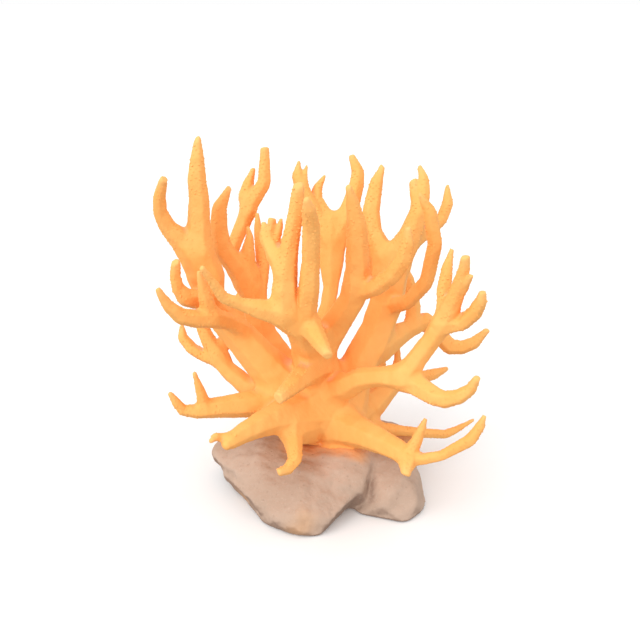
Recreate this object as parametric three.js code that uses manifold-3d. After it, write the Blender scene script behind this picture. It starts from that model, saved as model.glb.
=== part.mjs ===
// A staghorn coral colony grown on a loose stone. Millimetres, +Z up, the front faces -Y.
// The origin is the middle of the stone's flat underside.
//
// Every stem is a list of joints [x, y, z, radius]. A stem that starts on another branch has a
// stub: the first millimetres of it belong to the branch it grows from, and end in a flat face.

import * as THREE from 'three';
import { mergeVertices } from 'three/addons/utils/BufferGeometryUtils.js';
import Module from 'manifold-3d';

const wasm = await Module();
wasm.setup();

const GAP = 0.3;
const TIP_RISE = 0.8;
const TWIG_SIDES = 6;
const LIMB_SIDES = 7;
const TRUNK_SIDES = 10;
const LIMB_RADIUS = 12;
const CORAL_COLOUR = 0xfab25f;
const STONE_COLOUR = 0xd0b09a;

// Lobes of the stone: centre and half sizes.
const STONE_LOBES = [
  { at: [6, -2, 12], half: [62, 50, 27] },
  { at: [-52, 6, 24], half: [33, 35, 15] },
  { at: [-13, -36, 9], half: [38, 42, 27] },
  { at: [50, -20, 11], half: [37, 38, 26] },
  { at: [48, 28, 15], half: [40, 27, 20] },
];

const TRUNK = [[20, 9, 22, 25], [17, 8.5, 42, 25], [12, 6, 61, 25], [4, 4, 81, 21], [-3, 2, 100, 17],
  [-6, 0, 116, 14]];

const FRONT_ARM = [[-5, -4, 116, 14.5], [-12, -40, 150, 12], [-27, -52, 164, 9.5], [-41, -58, 169, 7],
  [-53, -62, 174, 4.5], [-64, -67, 180, 4], [-76, -78, 204, 2]];
const FRONT_ARM_SPUR = [[-9, -44, 155, 8.5], [-1, -62, 148, 6], [5, -78, 144, 3.5]];
const FRONT_LEFT_ANTLER = [[-23, -52, 168, 9.5], [-24, -54, 181, 9], [-23, -55, 194, 7.5],
  [-20, -56, 213, 6], [-16, -57, 234, 5.2], [-14, -58, 252.5, 4]];
const FAN_STEM = [[-24, -54, 195, 7], [-29, -50, 204, 7], [-33, -45, 211, 6], [-36, -42, 216, 5]];
const FAN_MIDDLE = [[-34, -43, 214, 4.5], [-33, -45, 221, 3.2], [-32, -46, 228, 2.8]];
const FAN_INNER = [[-32, -44, 211, 4], [-27.5, -46, 219, 2.4], [-26, -47, 228.5, 1.5]];
const FAN_REAR = [[-35, -43, 213, 4.5], [-37.5, -37, 218, 3], [-38.5, -32, 222, 2]];
const FRONT_RIGHT_ANTLER = [[-12, -46, 158, 9], [-7.5, -58, 183, 7], [-6, -63, 206, 5.8],
  [-5.6, -71, 229, 5.6], [-7, -80, 243, 4.4], [-8.5, -84, 250, 2]];

const CENTRE_ARM = [[0, 0, 120, 13.5], [14, -10, 144, 10.5], [23, -20, 163, 9.5], [27, -26, 179, 9]];
const CENTRE_UPRIGHT = [[27, -24, 174, 9], [26, -32, 199, 8], [25, -38, 222, 6.5], [22, -42, 238, 4.5],
  [19, -46, 250, 2]];
const CENTRE_ANTLER = [[26, -22, 171, 8], [39, -36, 178, 6.5], [49, -46, 189, 6], [56, -52, 202, 6],
  [58, -56, 215, 4.5], [58, -58, 225, 2]];

const BACK_ARM = [[0, 8, 117, 12.5], [6, 24, 141, 6], [8.5, 36, 154, 6], [9, 49, 171, 10],
  [10, 56, 189, 11], [10, 60, 201, 8.5]];
const BACK_ARM_TWIG = [[5, 62, 203, 6.5], [-2, 68.5, 214, 4.8], [-2.5, 68.5, 223, 3.4], [3.8, 72, 235.5, 1]];
const BACK_LEFT_ANTLER = [[8, 55, 189, 9.5], [-3, 59, 206, 6.5], [-13.5, 62, 225, 5.5],
  [-17.5, 65, 236, 4.5], [-16.5, 68, 247, 1.2]];
const BACK_LEFT_ANTLER_TIP = [[-13, 62, 227, 4], [-12, 65, 236, 2.4], [-10.5, 68, 244, 1]];
const BACK_RIGHT_ANTLER = [[13, 56, 190, 9.5], [19, 60, 199, 8.5], [25, 66, 215, 7], [29, 71, 228, 6],
  [30, 74, 238, 5], [25, 78, 249.5, 2.6]];

const RIGHT_LIMB = [[20, 10, 71, 16.5], [32, 14, 102, 14], [44, 20, 124, 13], [52, 24, 148, 13], [54, 26, 170, 14],
  [54, 27, 182, 13.5]];
const RIGHT_INNER_ANTLER = [[49, 28, 182, 10], [41, 36, 200, 6.5], [39, 42, 213, 6.5], [43, 52, 232, 5.2],
  [48, 59, 244.5, 2.2]];
const RIGHT_OUTER_ANTLER = [[59, 26, 179, 11.5], [67, 24, 197, 9], [73, 24, 215, 7], [77, 27, 229, 5],
  [77.5, 30, 240, 3.8], [74, 34, 249, 1.8]];
const RIGHT_OUTER_ANTLER_TIP = [[74, 24, 217, 5], [71, 27, 228, 3.8], [69.5, 30, 238.5, 3.2]];
const RIGHT_HIGH_TWIG = [[64, 28, 190, 8.5], [79, 36, 199, 7], [94, 47, 205, 4.5], [99, 52, 217, 4.5],
  [99, 58, 230, 1.5]];
const RIGHT_FRONT_BRANCH = [[56, 16, 146, 6.5], [64, -10, 157.5, 5.2], [75.5, -26, 178, 5.2],
  [79, -36, 209, 5.2], [74, -41, 232, 4.5], [66, -44, 245, 1.5]];

const RIGHT_BACK_BRANCH = [[46, 22, 109, 12], [62, 37, 114, 9], [76, 50, 116, 6.5], [86, 58, 118, 6.5]];
const RIGHT_BACK_OUTER = [[85, 57, 118, 6.5], [97, 62, 106, 6.5], [108, 62, 94, 6.5], [118, 62, 93, 5.5],
  [128, 62, 97, 5], [138, 62, 108, 2.5]];
const RIGHT_BACK_UPRIGHT = [[75, 50, 116, 6.5], [76, 56, 133, 5.5], [72, 62, 150, 5], [68, 68, 164, 2.5]];

const RIGHT_ARM = [[8, 0, 84, 13], [21, -24, 97, 9.5], [30, -36, 108, 8], [43, -46, 114, 7],
  [58, -54, 117, 9.5]];
const RIGHT_ARM_UPPER = [[60, -54, 118, 8.5], [68, -57, 133, 7], [76, -60, 147, 6.5], [83, -62, 161, 7.5],
  [87, -63, 169, 6.5]];
const INNER_TINE = [[85, -60, 163, 6], [84, -54, 181, 5], [86, -49, 194, 4], [89, -46, 207, 1.5]];
const MIDDLE_TINE = [[86, -63, 167, 7], [91, -70, 187, 5.5], [93, -76, 202, 4], [93, -79, 211, 3]];
const MIDDLE_TINE_SPUR = [[94, -72, 188, 3], [97, -82, 200, 1.5]];
const OUTER_TINE = [[84, -62, 160, 7], [95, -67, 162, 5.5], [102, -74, 172, 5], [105, -79, 182, 4],
  [105, -81, 188, 2.5]];
const RIGHT_ARM_LOWER = [[62, -54, 115, 8.5], [78, -70, 109, 7], [85, -75, 108, 6],
  [94, -80, 113, 5], [101, -83, 120, 4], [104, -86, 130, 2.5]];

const RIGHT_LOW_BRANCH = [[18, 14, 50, 17.5], [41, 30, 56, 12], [58, 46, 67, 9], [70, 56, 70, 6.5]];
const RIGHT_LOW_TWIG = [[69, 55, 68, 6], [83, 64, 65, 5], [96, 70, 65, 5], [109, 76, 68, 2]];
const RIGHT_LOW_SPIKE = [[62, 50, 67, 6], [65, 60, 84, 3], [64, 66, 97, 2]];

const FOOT_RIGHT_BRANCH = [[16, -4, 55, 17], [34, -30, 60, 11], [47, -48, 62, 9], [57, -60, 62, 8], [63, -67, 60, 6.5]];
const FOOT_RIGHT_DROP = [[62, -66, 61, 6.5], [61, -74, 58, 5.5], [60, -80, 55, 3.5]];
const FOOT_RIGHT_SPIKE = [[63, -65, 62, 5.5], [68, -68, 74, 4], [71, -70, 85, 3], [73, -72, 93, 1.5]];
const FOOT_RIGHT_OUTER = [[61, -64, 59, 6.5], [73, -71, 61, 4.5], [85, -76, 66, 4], [103, -82, 81, 5],
  [109, -83, 92, 3.5], [111, -84, 101, 1.5]];
const FOOT_BACK_TWIG = [[24, 12, 43, 13], [50, 17, 40, 6], [67, 20, 37.2, 4.3], [84, 25, 32.5, 4],
  [104, 32, 27.8, 3.6], [116, 37, 31, 2.6], [128, 42, 36, 1.2]];

const LEFT_LIMB = [[2, 6, 62, 21], [-25, 6, 81, 18], [-45, 4, 106, 14], [-60, 3, 125, 12],
  [-72, 2, 139, 10.5], [-80, 1, 153, 10.5], [-84, -1, 175, 13.5], [-90, -3, 194, 11.5]];
const LEFT_CURVED_ANTLER = [[-90, -3, 191, 10], [-98, -6, 201, 8.5], [-108, -11, 214, 6],
  [-112, -16, 226, 5], [-111, -21, 238, 4.4], [-106, -28, 251.5, 2.8]];
const LEFT_TALL_ANTLER = [[-88, -3, 194, 10], [-87, -3, 216, 8], [-86, -3, 232, 7], [-87, -3, 246, 6.5],
  [-86, -3, 261, 5], [-85, -3, 275, 2.4]];
const LEFT_FRONT_BRANCH = [[-60, -1, 141, 6.5], [-67, -20, 150, 6.5], [-77, -34, 155, 8],
  [-87, -41, 156, 6.5], [-96, -48, 160, 5.5], [-104, -53, 170, 4], [-109, -58, 183, 2]];
const LEFT_FRONT_SPIKE = [[-78, -34, 156, 6.5], [-80, -38, 171, 5], [-82, -41, 183, 3], [-83, -43, 191, 1.5]];
const LEFT_OUTER_TWIG = [[-76, -2, 163, 10], [-86, -14, 161, 8], [-96, -22, 165, 6.5],
  [-101, -25, 173, 4.5], [-102, -27, 182, 4], [-101, -29, 193, 3.4]];

const LEFT_LOW_LIMB = [[-32, 6, 74, 14], [-57, 16, 78, 8.5], [-73, 24, 89, 7], [-82, 30, 98, 7]];
const LEFT_LOW_OUTER = [[-78, 29, 96, 6.5], [-91, 33, 96.5, 5], [-103, 36, 102.5, 4.8],
  [-110, 39, 110.5, 4.2], [-111, 42, 120, 2]];
const LEFT_LOW_MIDDLE = [[-80, 29, 99, 7], [-88, 33, 109, 6], [-93, 36, 119, 5], [-98, 39, 131, 2.5]];
const LEFT_LOW_INNER = [[-81, 32, 100, 6.5], [-76, 40, 110, 5], [-74, 50, 117, 2.5]];
const LEFT_LOW_BRANCH = [[-16, 0, 70, 16], [-45, -8, 75, 10.5], [-62, -14, 76, 9], [-79, -20, 77, 7.5],
  [-92, -24, 76, 5.5], [-102, -27, 78, 4], [-106, -29, 85, 3.5], [-110, -31, 93, 2]];
const LEFT_LOW_SPIKE = [[-86, -22, 78, 5.5], [-89, -25, 94, 3.5], [-92, -29, 109, 1.5]];

const FOOT_LEFT_BRANCH = [[-8, -6, 67, 18.5], [-30, -30, 74, 12], [-43, -46, 76, 9], [-55, -60, 76, 7],
  [-62, -69, 75, 5.5], [-65, -73, 74, 4]];
const FOOT_LEFT_TWIG = [[-61, -66, 75, 5], [-70, -68, 77, 3], [-73, -71, 79, 3], [-76, -76, 78, 1.5]];
const FOOT_FRONT_TWIG = [[-12, -6, 55, 15.5], [-21, -34, 62, 8], [-19, -46, 57, 6], [-18, -56, 53, 5],
  [-23, -63, 49, 4], [-29, -69, 50, 3]];
const FRONT_STUB = [[-2, -2, 105, 13.5], [-12, -30, 108, 9], [-21, -52, 108, 6.5], [-28, -66, 107, 4.5]];

const BACK_LEFT_LIMB = [[-6, 20, 72, 16], [-29, 36, 89, 12], [-45, 43, 111, 11], [-51, 44, 132, 10.5],
  [-53, 43, 148, 9.5], [-56, 42, 162, 9]];
const BACK_LEFT_SPIKE = [[-58, 42, 157, 9], [-56, 38, 181, 5.5], [-54, 36, 195, 3], [-55, 35, 202, 1.5]];
const BACK_LEFT_OUTER = [[-57, 42, 153, 9], [-66, 35, 173, 8], [-75, 30, 188, 7.5], [-76.5, 27, 203, 6.5],
  [-75, 24, 220, 5.5], [-67, 20, 235.5, 2.2]];
const BACK_LEFT_TWIG = [[-51, 45, 140, 7], [-46.5, 47, 155, 5.2], [-45.3, 50, 167, 5.2],
  [-46.8, 53, 180, 4.4], [-48.5, 55.5, 193, 3.6], [-49.4, 57, 208, 1.6]];
const BACK_LEFT_TALL = [[-63, 46, 163, 7], [-71.5, 54, 174, 5.6], [-67, 60, 186, 5.6],
  [-60.5, 65, 200, 6.2], [-55, 67, 213, 6], [-44, 68, 230, 5.5], [-43, 70, 256, 3.5]];
const BACK_LEFT_TALL_TINE = [[-57, 66, 208, 6], [-60, 70, 219, 5], [-57, 74, 228, 4.5], [-53, 78, 239, 2]];

const REAR_LEFT_LIMB = [[-2, 24, 59, 16], [-22, 54, 60, 12.5], [-44, 74, 77, 11], [-63, 86, 98, 10],
  [-77, 94, 115, 8.5]];
const REAR_LEFT_OUTER = [[-77, 94, 113, 8], [-91, 99, 130, 7], [-100, 103, 150, 6], [-102, 108, 173, 3.5]];
const REAR_LEFT_INNER = [[-75, 94, 111, 8], [-64, 100, 126, 7], [-64, 106, 147, 5], [-63, 110, 166, 2.5]];
const REAR_LIMB = [[8, 22, 62, 14.5], [2, 46, 80, 11.5], [-5, 62, 100, 10], [-13, 74, 117, 9]];
const REAR_OUTER = [[-13, 74, 114, 8], [-26, 86, 134, 6.5], [-31, 94, 156, 6], [-30, 102, 175, 3.5]];
const REAR_INNER = [[-13, 74, 114, 8], [-7, 90, 137, 6], [-7, 101, 161, 5.5], [-8, 108, 182, 3]];
const REAR_RIGHT_LIMB = [[20, 22, 62, 14.5], [31, 46, 78, 11.5], [43, 64, 97, 10], [51, 78, 119, 9]];
const REAR_RIGHT_INNER = [[51, 78, 117, 8], [48, 84, 142, 6.5], [43, 92, 164, 5.5], [44, 100, 182, 4],
  [46, 106, 196, 2]];
const REAR_RIGHT_OUTER = [[51, 78, 117, 8], [64, 92, 137, 7], [72, 101, 160, 6], [78, 108, 178, 4.5],
  [83, 114, 196, 2.5]];
const REAR_LOW_LEFT = [[8, 24, 50, 14.5], [-12, 56, 44, 9], [-28, 78, 42, 7.5], [-42, 94, 50, 5.5],
  [-50, 105, 65, 2.5]];
const REAR_LOW_MIDDLE = [[15, 26, 46, 13], [12, 58, 44, 8], [7, 82, 45, 6], [2, 100, 58, 3]];
const REAR_LOW_RIGHT = [[20, 24, 48, 13], [35, 52, 48, 8.5], [46, 72, 53, 7], [53, 88, 65, 5], [53, 100, 80, 2.5]];

// Length of the stub that stays on the branch each stem grows from.
const STUB = {
  frontArm: 34, frontLeftAntler: 23, fan: 17, frontRightAntler: 32, centreArm: 32, centreUpright: 25, centreAntler: 24,
  backArm: 23, backLeftAntler: 31, backRightAntler: 27, rightLimb: 36, rightInnerAntler: 24, rightOuterAntler: 30,
  rightHighTwig: 27, rightFrontBranch: 18, rightBackBranch: 21, rightBackOuter: 19, rightBackUpright: 20,
  rightArm: 28, rightArmUpper: 20, innerTine: 20, middleTine: 19, outerTine: 20, rightArmLower: 20,
  rightLowBranch: 44, footRightBranch: 32, footRightOuter: 18, footBackTwig: 30, leftLimb: 62, leftCurvedAntler: 24,
  leftTallAntler: 23, leftFrontBranch: 18, leftOuterTwig: 24, leftLowLimb: 32, leftLowOuter: 23, leftLowMiddle: 19,
  leftLowInner: 14, leftLowBranch: 44, footLeftBranch: 45, footFrontTwig: 40, frontStub: 32, backLeftLimb: 40,
  backLeftSpike: 26, backLeftOuter: 31, backLeftTwig: 25, backLeftTall: 22, rearLeftLimb: 47, rearLeftOuter: 21,
  rearLeftInner: 24, rearLimb: 35, rearOuter: 25, rearInner: 24, rearRightLimb: 28, rearRightInner: 27,
  rearRightOuter: 27, rearLowLeft: 54, rearLowMiddle: 34, rearLowRight: 42,
};

// Joints with the distance along the stem added to each.
function measured(joints) {
  let along = 0;
  return joints.map((joint, i) => {
    const at = new THREE.Vector3(joint[0], joint[1], joint[2]);
    if (i > 0) {
      along += at.distanceTo(new THREE.Vector3(...joints[i - 1].slice(0, 3)));
    }
    return { at, radius: joint[3], along };
  });
}

// A point, a radius and a cross-section frame for every ring of a stem, carried along without twist.
function ringsOf(joints, cuts) {
  const stations = measured(joints);
  for (const cut of cuts) {
    const next = stations.findIndex((s) => s.along > cut);
    const a = stations[next - 1];
    const b = stations[next];
    const t = (cut - a.along) / (b.along - a.along);
    const at = a.at.clone().lerp(b.at, t);
    stations.splice(next, 0, { at, radius: a.radius + (b.radius - a.radius) * t, along: cut, inside: true });
  }
  const last = stations.length - 1;
  let side = null;
  stations.forEach((station, i) => {
    const before = stations[Math.max(i - 1, 0)];
    const after = stations[Math.min(i + 1, last)];
    const tangent = after.at.clone().sub(before.at).normalize();
    if (side === null) {
      side = new THREE.Vector3(0, 1, 0.2);
    }
    side = side.clone().addScaledVector(tangent, -side.dot(tangent)).normalize();
    station.tangent = tangent;
    station.side = side;
    station.across = new THREE.Vector3().crossVectors(side, tangent);
  });
  return stations;
}

// Closed triangle soup of a geometry as a manifold solid.
function solidOf(geometry) {
  geometry.deleteAttribute('normal');
  geometry.deleteAttribute('uv');
  const merged = mergeVertices(geometry, 1e-4);
  const index = merged.index.array;
  const kept = [];
  for (let i = 0; i < index.length; i += 3) {
    const [a, b, c] = [index[i], index[i + 1], index[i + 2]];
    if (a !== b && b !== c && a !== c) {
      kept.push(a, b, c);
    }
  }
  const solid = new wasm.Manifold(new wasm.Mesh({
    numProp: 3,
    vertProperties: new Float32Array(merged.attributes.position.array),
    triVerts: new Uint32Array(kept),
  }));
  return solid;
}

// A stem between two distances along it: a turned profile bent along the joints.
// Without an end it runs to its blunt tip.
function stem(joints, start = 0, end = null, sides = null) {
  const cuts = [start, end].filter((cut) => cut !== null && cut > 0);
  const rings = ringsOf(joints, cuts);
  const inside = rings.filter((r) => r.along >= start && (end === null || r.along <= end));
  const profile = [new THREE.Vector2(0, inside[0].along)];
  inside.forEach((r) => profile.push(new THREE.Vector2(r.radius, r.along)));
  const tip = inside[inside.length - 1];
  if (end === null) {
    profile.push(new THREE.Vector2(0, tip.along + tip.radius * TIP_RISE));
  } else {
    profile.push(new THREE.Vector2(0, tip.along));
  }
  const thick = inside[0].radius >= LIMB_RADIUS;
  const count = sides ?? (thick ? LIMB_SIDES : TWIG_SIDES);
  const lathe = new THREE.LatheGeometry(profile, count);
  const place = lathe.attributes.position;
  for (let i = 0; i < place.count; i += 1) {
    const along = place.getY(i);
    const ring = inside.reduce((best, r) => (Math.abs(r.along - along) < Math.abs(best.along - along) ? r : best));
    const point = ring.at.clone()
      .addScaledVector(ring.tangent, along - ring.along)
      .addScaledVector(ring.side, place.getX(i))
      .addScaledVector(ring.across, place.getZ(i));
    place.setXYZ(i, point.x, point.y, point.z);
  }
  return solidOf(lathe);
}

// The part of a stem that stays on its parent.
function stub(joints, length, sides = null) {
  return stem(joints, 0, length - GAP, sides ?? sidesAt(joints, length));
}

// The part of a stem beyond its stub.
function beyond(joints, length) {
  return stem(joints, length, null, sidesAt(joints, length));
}

// Both faces of a joint between parts have the same number of sides.
function sidesAt(joints, length) {
  const rings = ringsOf(joints, [length]);
  const ring = rings.find((r) => r.inside);
  return ring.radius >= LIMB_RADIUS ? LIMB_SIDES : TWIG_SIDES;
}

function named(name, solid, colour) {
  const mesh = solid.getMesh();
  const geometry = new THREE.BufferGeometry();
  geometry.setAttribute('position', new THREE.BufferAttribute(new Float32Array(mesh.vertProperties), 3));
  geometry.setIndex(new THREE.BufferAttribute(new Uint32Array(mesh.triVerts), 1));
  geometry.computeVertexNormals();
  const part = new THREE.Mesh(geometry, new THREE.MeshStandardMaterial({ color: colour, roughness: 0.85 }));
  part.name = name;
  return part;
}

function branch(name, ...solids) {
  const whole = solids.reduce((sum, next) => sum.add(next));
  return named(name, whole, CORAL_COLOUR);
}

function stoneSolid() {
  const lobes = STONE_LOBES.map(({ at, half }) => {
    const ball = new THREE.SphereGeometry(1, 12, 6);
    ball.rotateX(Math.PI / 2);
    ball.scale(...half);
    ball.translate(...at);
    return solidOf(ball);
  });
  const floor = new THREE.BoxGeometry(400, 400, 100);
  floor.translate(0, 0, -50);
  return lobes.reduce((sum, next) => sum.add(next)).subtract(solidOf(floor));
}

function stone() {
  return named('stone', stoneSolid(), STONE_COLOUR);
}

function trunk() {
  const solids = [
    stem(TRUNK, 0, null, TRUNK_SIDES),
    stub(FRONT_ARM, STUB.frontArm),
    stub(CENTRE_ARM, STUB.centreArm),
    stub(BACK_ARM, STUB.backArm),
    stub(RIGHT_LIMB, STUB.rightLimb),
    stub(RIGHT_ARM, STUB.rightArm),
    stub(RIGHT_LOW_BRANCH, STUB.rightLowBranch),
    stub(FOOT_RIGHT_BRANCH, STUB.footRightBranch),
    stub(FOOT_BACK_TWIG, STUB.footBackTwig),
    stub(LEFT_LIMB, STUB.leftLimb),
    stub(LEFT_LOW_LIMB, STUB.leftLowLimb),
    stub(LEFT_LOW_BRANCH, STUB.leftLowBranch),
    stub(FOOT_LEFT_BRANCH, STUB.footLeftBranch),
    stub(FOOT_FRONT_TWIG, STUB.footFrontTwig),
    stub(FRONT_STUB, STUB.frontStub),
    stub(BACK_LEFT_LIMB, STUB.backLeftLimb),
    stub(REAR_LEFT_LIMB, STUB.rearLeftLimb),
    stub(REAR_LIMB, STUB.rearLimb),
    stub(REAR_RIGHT_LIMB, STUB.rearRightLimb),
    stub(REAR_LOW_LEFT, STUB.rearLowLeft),
    stub(REAR_LOW_MIDDLE, STUB.rearLowMiddle),
    stub(REAR_LOW_RIGHT, STUB.rearLowRight),
  ];
  const whole = solids.reduce((sum, next) => sum.add(next));
  return named('trunk', whole.subtract(stoneSolid().translate([0, 0, GAP])), CORAL_COLOUR);
}

function frontArm() {
  return branch('front_arm', beyond(FRONT_ARM, STUB.frontArm), stem(FRONT_ARM_SPUR),
    stub(FRONT_LEFT_ANTLER, STUB.frontLeftAntler), stub(FRONT_RIGHT_ANTLER, STUB.frontRightAntler));
}

function frontLeftAntler() {
  return branch('front_left_antler', beyond(FRONT_LEFT_ANTLER, STUB.frontLeftAntler), stub(FAN_STEM, STUB.fan));
}

function frontFan() {
  return branch('front_fan', beyond(FAN_STEM, STUB.fan), stem(FAN_MIDDLE), stem(FAN_INNER), stem(FAN_REAR));
}

function frontRightAntler() {
  return branch('front_right_antler', beyond(FRONT_RIGHT_ANTLER, STUB.frontRightAntler));
}

function centreArm() {
  return branch('centre_arm', beyond(CENTRE_ARM, STUB.centreArm), stub(CENTRE_UPRIGHT, STUB.centreUpright),
    stub(CENTRE_ANTLER, STUB.centreAntler));
}

function centreUpright() {
  return branch('centre_upright', beyond(CENTRE_UPRIGHT, STUB.centreUpright));
}

function centreAntler() {
  return branch('centre_antler', beyond(CENTRE_ANTLER, STUB.centreAntler));
}

function backArm() {
  return branch('back_arm', beyond(BACK_ARM, STUB.backArm), stem(BACK_ARM_TWIG),
    stub(BACK_LEFT_ANTLER, STUB.backLeftAntler), stub(BACK_RIGHT_ANTLER, STUB.backRightAntler));
}

function backLeftAntler() {
  return branch('back_left_antler', beyond(BACK_LEFT_ANTLER, STUB.backLeftAntler), stem(BACK_LEFT_ANTLER_TIP));
}

function backRightAntler() {
  return branch('back_right_antler', beyond(BACK_RIGHT_ANTLER, STUB.backRightAntler));
}

function rightLimb() {
  return branch('right_limb', beyond(RIGHT_LIMB, STUB.rightLimb), stub(RIGHT_INNER_ANTLER, STUB.rightInnerAntler),
    stub(RIGHT_OUTER_ANTLER, STUB.rightOuterAntler), stub(RIGHT_HIGH_TWIG, STUB.rightHighTwig),
    stub(RIGHT_FRONT_BRANCH, STUB.rightFrontBranch), stub(RIGHT_BACK_BRANCH, STUB.rightBackBranch));
}

function rightInnerAntler() {
  return branch('right_inner_antler', beyond(RIGHT_INNER_ANTLER, STUB.rightInnerAntler));
}

function rightOuterAntler() {
  return branch('right_outer_antler', beyond(RIGHT_OUTER_ANTLER, STUB.rightOuterAntler), stem(RIGHT_OUTER_ANTLER_TIP));
}

function rightHighTwig() {
  return branch('right_high_twig', beyond(RIGHT_HIGH_TWIG, STUB.rightHighTwig));
}

function rightFrontBranch() {
  return branch('right_front_branch', beyond(RIGHT_FRONT_BRANCH, STUB.rightFrontBranch));
}

function rightBackBranch() {
  return branch('right_back_branch', beyond(RIGHT_BACK_BRANCH, STUB.rightBackBranch),
    stub(RIGHT_BACK_OUTER, STUB.rightBackOuter), stub(RIGHT_BACK_UPRIGHT, STUB.rightBackUpright));
}

function rightBackOuter() {
  return branch('right_back_outer', beyond(RIGHT_BACK_OUTER, STUB.rightBackOuter));
}

function rightBackUpright() {
  return branch('right_back_upright', beyond(RIGHT_BACK_UPRIGHT, STUB.rightBackUpright));
}

function rightArm() {
  return branch('right_arm', beyond(RIGHT_ARM, STUB.rightArm), stub(RIGHT_ARM_UPPER, STUB.rightArmUpper),
    stub(RIGHT_ARM_LOWER, STUB.rightArmLower));
}

function rightArmUpper() {
  return branch('right_arm_upper', beyond(RIGHT_ARM_UPPER, STUB.rightArmUpper), stub(INNER_TINE, STUB.innerTine),
    stub(MIDDLE_TINE, STUB.middleTine), stub(OUTER_TINE, STUB.outerTine));
}

function innerTine() {
  return branch('right_arm_inner_tine', beyond(INNER_TINE, STUB.innerTine));
}

function middleTine() {
  return branch('right_arm_middle_tine', beyond(MIDDLE_TINE, STUB.middleTine), stem(MIDDLE_TINE_SPUR));
}

function outerTine() {
  return branch('right_arm_outer_tine', beyond(OUTER_TINE, STUB.outerTine));
}

function rightArmLower() {
  return branch('right_arm_lower', beyond(RIGHT_ARM_LOWER, STUB.rightArmLower));
}

function rightLowBranch() {
  return branch('right_low_branch', beyond(RIGHT_LOW_BRANCH, STUB.rightLowBranch), stem(RIGHT_LOW_TWIG),
    stem(RIGHT_LOW_SPIKE));
}

function footRightBranch() {
  return branch('foot_right_branch', beyond(FOOT_RIGHT_BRANCH, STUB.footRightBranch), stem(FOOT_RIGHT_DROP),
    stem(FOOT_RIGHT_SPIKE), stub(FOOT_RIGHT_OUTER, STUB.footRightOuter));
}

function footRightOuter() {
  return branch('foot_right_outer', beyond(FOOT_RIGHT_OUTER, STUB.footRightOuter));
}

function footBackTwig() {
  return branch('foot_back_twig', beyond(FOOT_BACK_TWIG, STUB.footBackTwig));
}

function leftLimb() {
  return branch('left_limb', beyond(LEFT_LIMB, STUB.leftLimb), stub(LEFT_CURVED_ANTLER, STUB.leftCurvedAntler),
    stub(LEFT_TALL_ANTLER, STUB.leftTallAntler), stub(LEFT_FRONT_BRANCH, STUB.leftFrontBranch),
    stub(LEFT_OUTER_TWIG, STUB.leftOuterTwig));
}

function leftCurvedAntler() {
  return branch('left_curved_antler', beyond(LEFT_CURVED_ANTLER, STUB.leftCurvedAntler));
}

function leftTallAntler() {
  return branch('left_tall_antler', beyond(LEFT_TALL_ANTLER, STUB.leftTallAntler));
}

function leftFrontBranch() {
  return branch('left_front_branch', beyond(LEFT_FRONT_BRANCH, STUB.leftFrontBranch), stem(LEFT_FRONT_SPIKE));
}

function leftOuterTwig() {
  return branch('left_outer_twig', beyond(LEFT_OUTER_TWIG, STUB.leftOuterTwig));
}

function leftLowLimb() {
  return branch('left_low_limb', beyond(LEFT_LOW_LIMB, STUB.leftLowLimb), stub(LEFT_LOW_OUTER, STUB.leftLowOuter),
    stub(LEFT_LOW_MIDDLE, STUB.leftLowMiddle), stem(LEFT_LOW_INNER));
}

function leftLowOuter() {
  return branch('left_low_outer_twig', beyond(LEFT_LOW_OUTER, STUB.leftLowOuter));
}

function leftLowMiddle() {
  return branch('left_low_middle_twig', beyond(LEFT_LOW_MIDDLE, STUB.leftLowMiddle));
}

function leftLowBranch() {
  return branch('left_low_branch', beyond(LEFT_LOW_BRANCH, STUB.leftLowBranch), stem(LEFT_LOW_SPIKE));
}

function footLeftBranch() {
  return branch('foot_left_branch', beyond(FOOT_LEFT_BRANCH, STUB.footLeftBranch), stem(FOOT_LEFT_TWIG));
}

function footFrontTwig() {
  return branch('foot_front_twig', beyond(FOOT_FRONT_TWIG, STUB.footFrontTwig));
}

function frontStub() {
  return branch('front_stub', beyond(FRONT_STUB, STUB.frontStub));
}

function backLeftLimb() {
  return branch('back_left_limb', beyond(BACK_LEFT_LIMB, STUB.backLeftLimb),
    stub(BACK_LEFT_SPIKE, STUB.backLeftSpike), stub(BACK_LEFT_OUTER, STUB.backLeftOuter),
    stub(BACK_LEFT_TWIG, STUB.backLeftTwig), stub(BACK_LEFT_TALL, STUB.backLeftTall));
}

function backLeftSpike() {
  return branch('back_left_spike', beyond(BACK_LEFT_SPIKE, STUB.backLeftSpike));
}

function backLeftOuter() {
  return branch('back_left_outer_antler', beyond(BACK_LEFT_OUTER, STUB.backLeftOuter));
}

function backLeftTwig() {
  return branch('back_left_twig', beyond(BACK_LEFT_TWIG, STUB.backLeftTwig));
}

function backLeftTall() {
  return branch('back_left_tall_antler', beyond(BACK_LEFT_TALL, STUB.backLeftTall), stem(BACK_LEFT_TALL_TINE));
}

function rearLeftLimb() {
  return branch('rear_left_limb', beyond(REAR_LEFT_LIMB, STUB.rearLeftLimb),
    stub(REAR_LEFT_OUTER, STUB.rearLeftOuter), stub(REAR_LEFT_INNER, STUB.rearLeftInner));
}

function rearLeftOuter() {
  return branch('rear_left_outer_antler', beyond(REAR_LEFT_OUTER, STUB.rearLeftOuter));
}

function rearLeftInner() {
  return branch('rear_left_inner_antler', beyond(REAR_LEFT_INNER, STUB.rearLeftInner));
}

function rearLimb() {
  return branch('rear_limb', beyond(REAR_LIMB, STUB.rearLimb), stub(REAR_OUTER, STUB.rearOuter),
    stub(REAR_INNER, STUB.rearInner));
}

function rearOuter() {
  return branch('rear_outer_antler', beyond(REAR_OUTER, STUB.rearOuter));
}

function rearInner() {
  return branch('rear_inner_antler', beyond(REAR_INNER, STUB.rearInner));
}

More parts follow.
